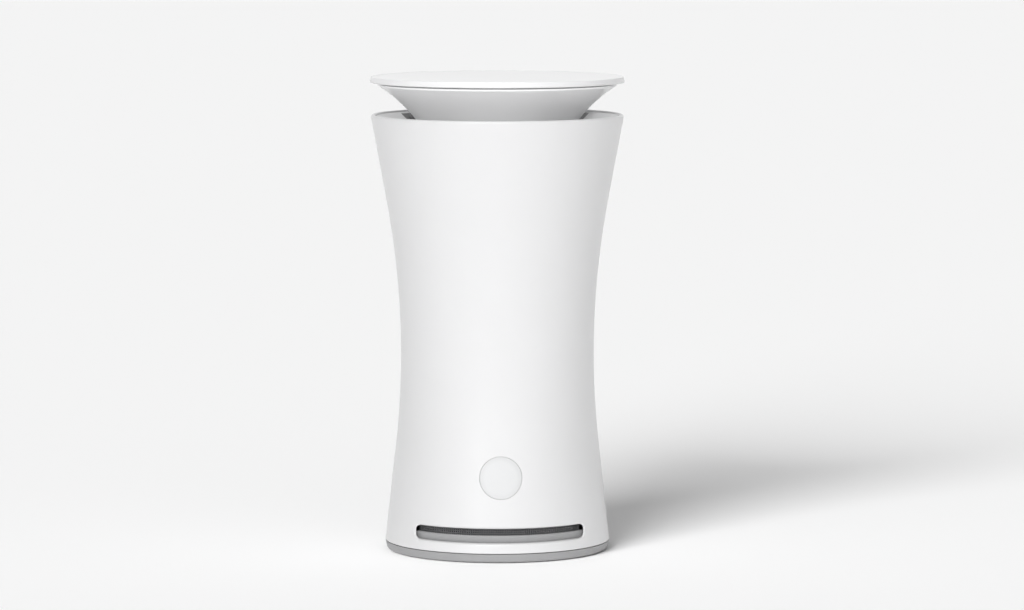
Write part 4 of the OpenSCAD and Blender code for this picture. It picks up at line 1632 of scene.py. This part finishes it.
@dataclass
class InnerWorks:
    """The solids of the frame that keep their own shape: what each is made of."""

    def build(self) -> None:
        """Gives every remaining solid its finish."""
        dress(Metal("plated_steel", (0.72, 0.72, 0.73)), "base_screws", "board_screws", "fan_screws",
              "cap_screw", "usb_socket", "fan_bearings", "fan_shaft")
        dress(Plastic("screen_grey", (0.27, 0.27, 0.275), roughness=0.5, drift=0.04, grain=0.2 * MM,
                      depth=0.01 * MM), "outlet_mesh")
        dress(Plastic("clear_guide", (0.78, 0.8, 0.82), roughness=0.12, coat=0.3), "light_guide")
        dress(CircuitBoard("solder_mask", (0.012, 0.11, 0.045)), "led_board", "main_board")
        dress(Ribbon("amber_film", (0.5, 0.3, 0.12)), "led_ribbon")
        dress(Plastic("moulded_grey", (0.52, 0.52, 0.515), roughness=0.5, drift=0.03, grain=0.3 * MM,
                      depth=0.01 * MM), "inner_frame")
        dress(Plastic("moulded_black", (0.035, 0.035, 0.037), roughness=0.42, drift=0.08), "power_switch",
              "switch_plunger", "fan_casing", "fan_rotor")
        dress(Plastic("sensor_case", (0.07, 0.08, 0.095), roughness=0.46, drift=0.05), "air_sensor")
        dress(Plastic("natural_nylon", (0.72, 0.7, 0.62), roughness=0.5), "fan_connector")
        dress(Winding("copper_winding", (0.62, 0.24, 0.09)), "fan_stator")
        dress(Metal("ferrite", (0.06, 0.06, 0.062), roughness=0.5, metallic=0.4), "fan_magnet")
        dress(Rubber("grey_seal", (0.4, 0.4, 0.405)), "cap_seal", "neck_seal")
        dress(Plastic("filter_plastic", (0.66, 0.66, 0.63), roughness=0.48, drift=0.025), "filter_top_cap",
              "filter_base_ring")
        dress(Paper("pleated_paper", (0.74, 0.73, 0.67), high("filter_media", 0)), "filter_media")
        dress(Foam("carbon_foam", (0.02, 0.02, 0.021)), "carbon_sleeve")
        dress(Foam("gasket_foam", (0.12, 0.12, 0.122), cell=0.35 * MM, depth=0.05 * MM), "filter_gasket")


# ------------------------------------------------------------------------------------------ studio


@dataclass(frozen=True)
class Sun:
    """A soft light from far away; its source is right, ahead and up, seen from the camera."""

    name: str
    source: Triple
    strength: float
    spread: float = math.radians(31.8)


@dataclass(frozen=True)
class Panel:
    """A flat light that faces the middle of the part; turns count from the camera to the right."""

    name: str
    turn: float
    lift: float
    distance: float
    size: Pair
    power: float


@dataclass
class Studio:
    """The pale floor, the soft light and the camera."""

    azimuth: float = math.radians(-2)
    distance: float = 1.59
    aside: float = 0.0049
    height: float = 0.2337
    pitch: float = math.radians(5.448)
    lens: float = 167.47
    sensor: float = 36.0
    floor_reach: Pair = (14.0, 1.0)
    floor_columns: int = 96
    floor_color: Triple = (0.93, 0.93, 0.93)
    key: Sun = Sun("key", (-0.387, -0.829, 0.404), 0.4)
    floor_key: Sun = Sun("floor_key", (-0.387, -0.829, 0.404), 4.1)
    dish_key: Sun = Sun("dish_key", (-0.1, -0.2, 1.0), 1.3)
    strip: Panel = Panel("strip", math.radians(-17.5), 0.0, 1.1, (0.05, 0.9), 0.3)
    fill: Panel = Panel("fill", math.radians(-4), math.radians(32), 2.6, (1.7, 1.4), 31.0)
    cone_fill: Panel = Panel("cone_fill", math.radians(-4), math.radians(8), 2.6, (0.5, 0.4), 47.0)
    sky: float = 0.07
    sky_behind: float = 1.0
    sky_before: float = 1.2
    sky_sides: float = 0.2

    @property
    def right(self) -> np.ndarray:
        """The level direction to the camera's right."""
        return np.array([*way(self.azimuth), 0.0])

    @property
    def ahead(self) -> np.ndarray:
        """The level direction in which the camera looks."""
        return np.array([*way(self.azimuth + math.pi / 2), 0.0])

    def build(self) -> None:
        """Builds the floor, the lights, the world and the camera."""
        floor = self.floor()
        cone, collar, dish = (bpy.data.objects[name] for name in ("cone", "collar", "dish"))
        self.world()
        self.sun(self.key)
        self.limit(self.sun(self.floor_key), Reach.ONLY, floor)
        self.limit(self.sun(self.dish_key), Reach.ONLY, dish)
        self.panel(self.strip)
        self.limit(self.panel(self.fill), Reach.ALL_BUT, floor, cone)
        self.limit(self.panel(self.cone_fill), Reach.ONLY, cone, collar)
        self.camera()

    def floor(self) -> bpy.types.Object:
        """Lays the floor, a wide disc.

        Returns:
            The floor.
        """
        maker = MeshMaker()
        spots = np.array([[reach, 0.0] for reach in (*self.floor_reach, 0.0)])
        maker.turn((spots, np.tile([0.0, 1.0], (len(spots), 1))), self.floor_columns, closed=False)
        floor = maker.build("floor")
        floor.data.materials.append(Floor("pale_floor", self.floor_color).make())
        floor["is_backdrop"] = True
        return floor

    def world(self) -> None:
        """Sets the sky, which is brighter towards some sides than towards others."""
        world = bpy.data.worlds.new("studio")
        bpy.context.scene.world = world
        tree = Tree("studio", world)
        light = self.sky
        for side, strength in ((self.ahead, self.sky_behind), (-self.ahead, self.sky_before),
                               (self.right, self.sky_sides), (-self.right, self.sky_sides)):
            toward = Value(tree, tree.vector("DOT_PRODUCT", side, "Value"))
            share = tree.math("MAXIMUM", toward, 0.0)
            light = light + share * share * strength
        tree.surface(color=(1.0, 1.0, 1.0), strength=light)

    def sun(self, sun: Sun) -> bpy.types.Object:
        """Adds a sun.

        Args:
            sun: What it is like.

        Returns:
            The lamp.
        """
        light = bpy.data.lights.new(sun.name, "SUN")
        light.energy, light.angle = sun.strength, sun.spread
        right, ahead, up = sun.source
        source = right * self.right + ahead * self.ahead + np.array([0.0, 0.0, up])
        return self.aim(light, source * 2.0, np.zeros(3))

    def panel(self, panel: Panel) -> bpy.types.Object:
        """Adds a panel.

        Args:
            panel: What it is like.

        Returns:
            The lamp.
        """
        light = bpy.data.lights.new(panel.name, "AREA")
        light.shape, light.energy = "RECTANGLE", panel.power
        light.size, light.size_y = panel.size
        target = np.array([0.0, 0.0, (CAD_BOX[0][2] + CAD_BOX[1][2]) / 2])
        level = self.right * math.sin(panel.turn) - self.ahead * math.cos(panel.turn)
        toward = level * math.cos(panel.lift) + np.array([0.0, 0.0, math.sin(panel.lift)])
        return self.aim(light, target + toward * panel.distance, target)

    @staticmethod
    def limit(lamp: bpy.types.Object, reach: Reach, *things: bpy.types.Object) -> None:
        """Lets a lamp light some objects alone, or all but some.

        Args:
            lamp: The lamp.
            reach: Which of the two.
            things: The objects.
        """
        lit = bpy.data.collections.new(lamp.name + "_lit")
        for thing in things:
            lit.objects.link(thing)
        for entry in lit.collection_objects:
            entry.light_linking.link_state = reach.value
        lamp.light_linking.receiver_collection = lit

    def camera(self) -> None:
        """Sets up the camera."""
        lens = bpy.data.cameras.new("camera")
        lens.lens, lens.sensor_width = self.lens, self.sensor
        spot = self.right * self.aside - self.ahead * self.distance + np.array([0.0, 0.0, self.height])
        sight = self.ahead * math.cos(self.pitch) - np.array([0.0, 0.0, math.sin(self.pitch)])
        bpy.context.scene.camera = self.aim(lens, spot, spot + sight)

    @staticmethod
    def aim(data: bpy.types.ID, spot: np.ndarray, target: np.ndarray) -> bpy.types.Object:
        """Puts up a light or a camera, which looks along its own -Z, and turns it to a target.

        Args:
            data: The light or the camera.
            spot: Where it goes.
            target: What it looks at.

        Returns:
            Its object.
        """
        thing = bpy.data.objects.new(data.name, data)
        bpy.context.collection.objects.link(thing)
        back = unit(spot - target)
        side = unit(np.cross([0.0, 0.0, 1.0], back))
        matrix = np.identity(4)
        matrix[:3] = np.column_stack([side, np.cross(back, side), back, spot])
        thing.matrix_world = Matrix(matrix.tolist())
        return thing


def main() -> None:
    """Builds every part of the scene in order."""
    logging.basicConfig(level=logging.INFO, format="%(name)s: %(message)s")
    bpy.context.scene.view_settings.view_transform = "Standard"
    housing = Housing()
    for part in (housing, Base(housing), StatusLight(housing), Controls(), IntakeScreen(), Outlet(housing),
                 Cap(), InnerWorks(), Studio()):
        part.build()


if __name__ == "__main__":
    main()
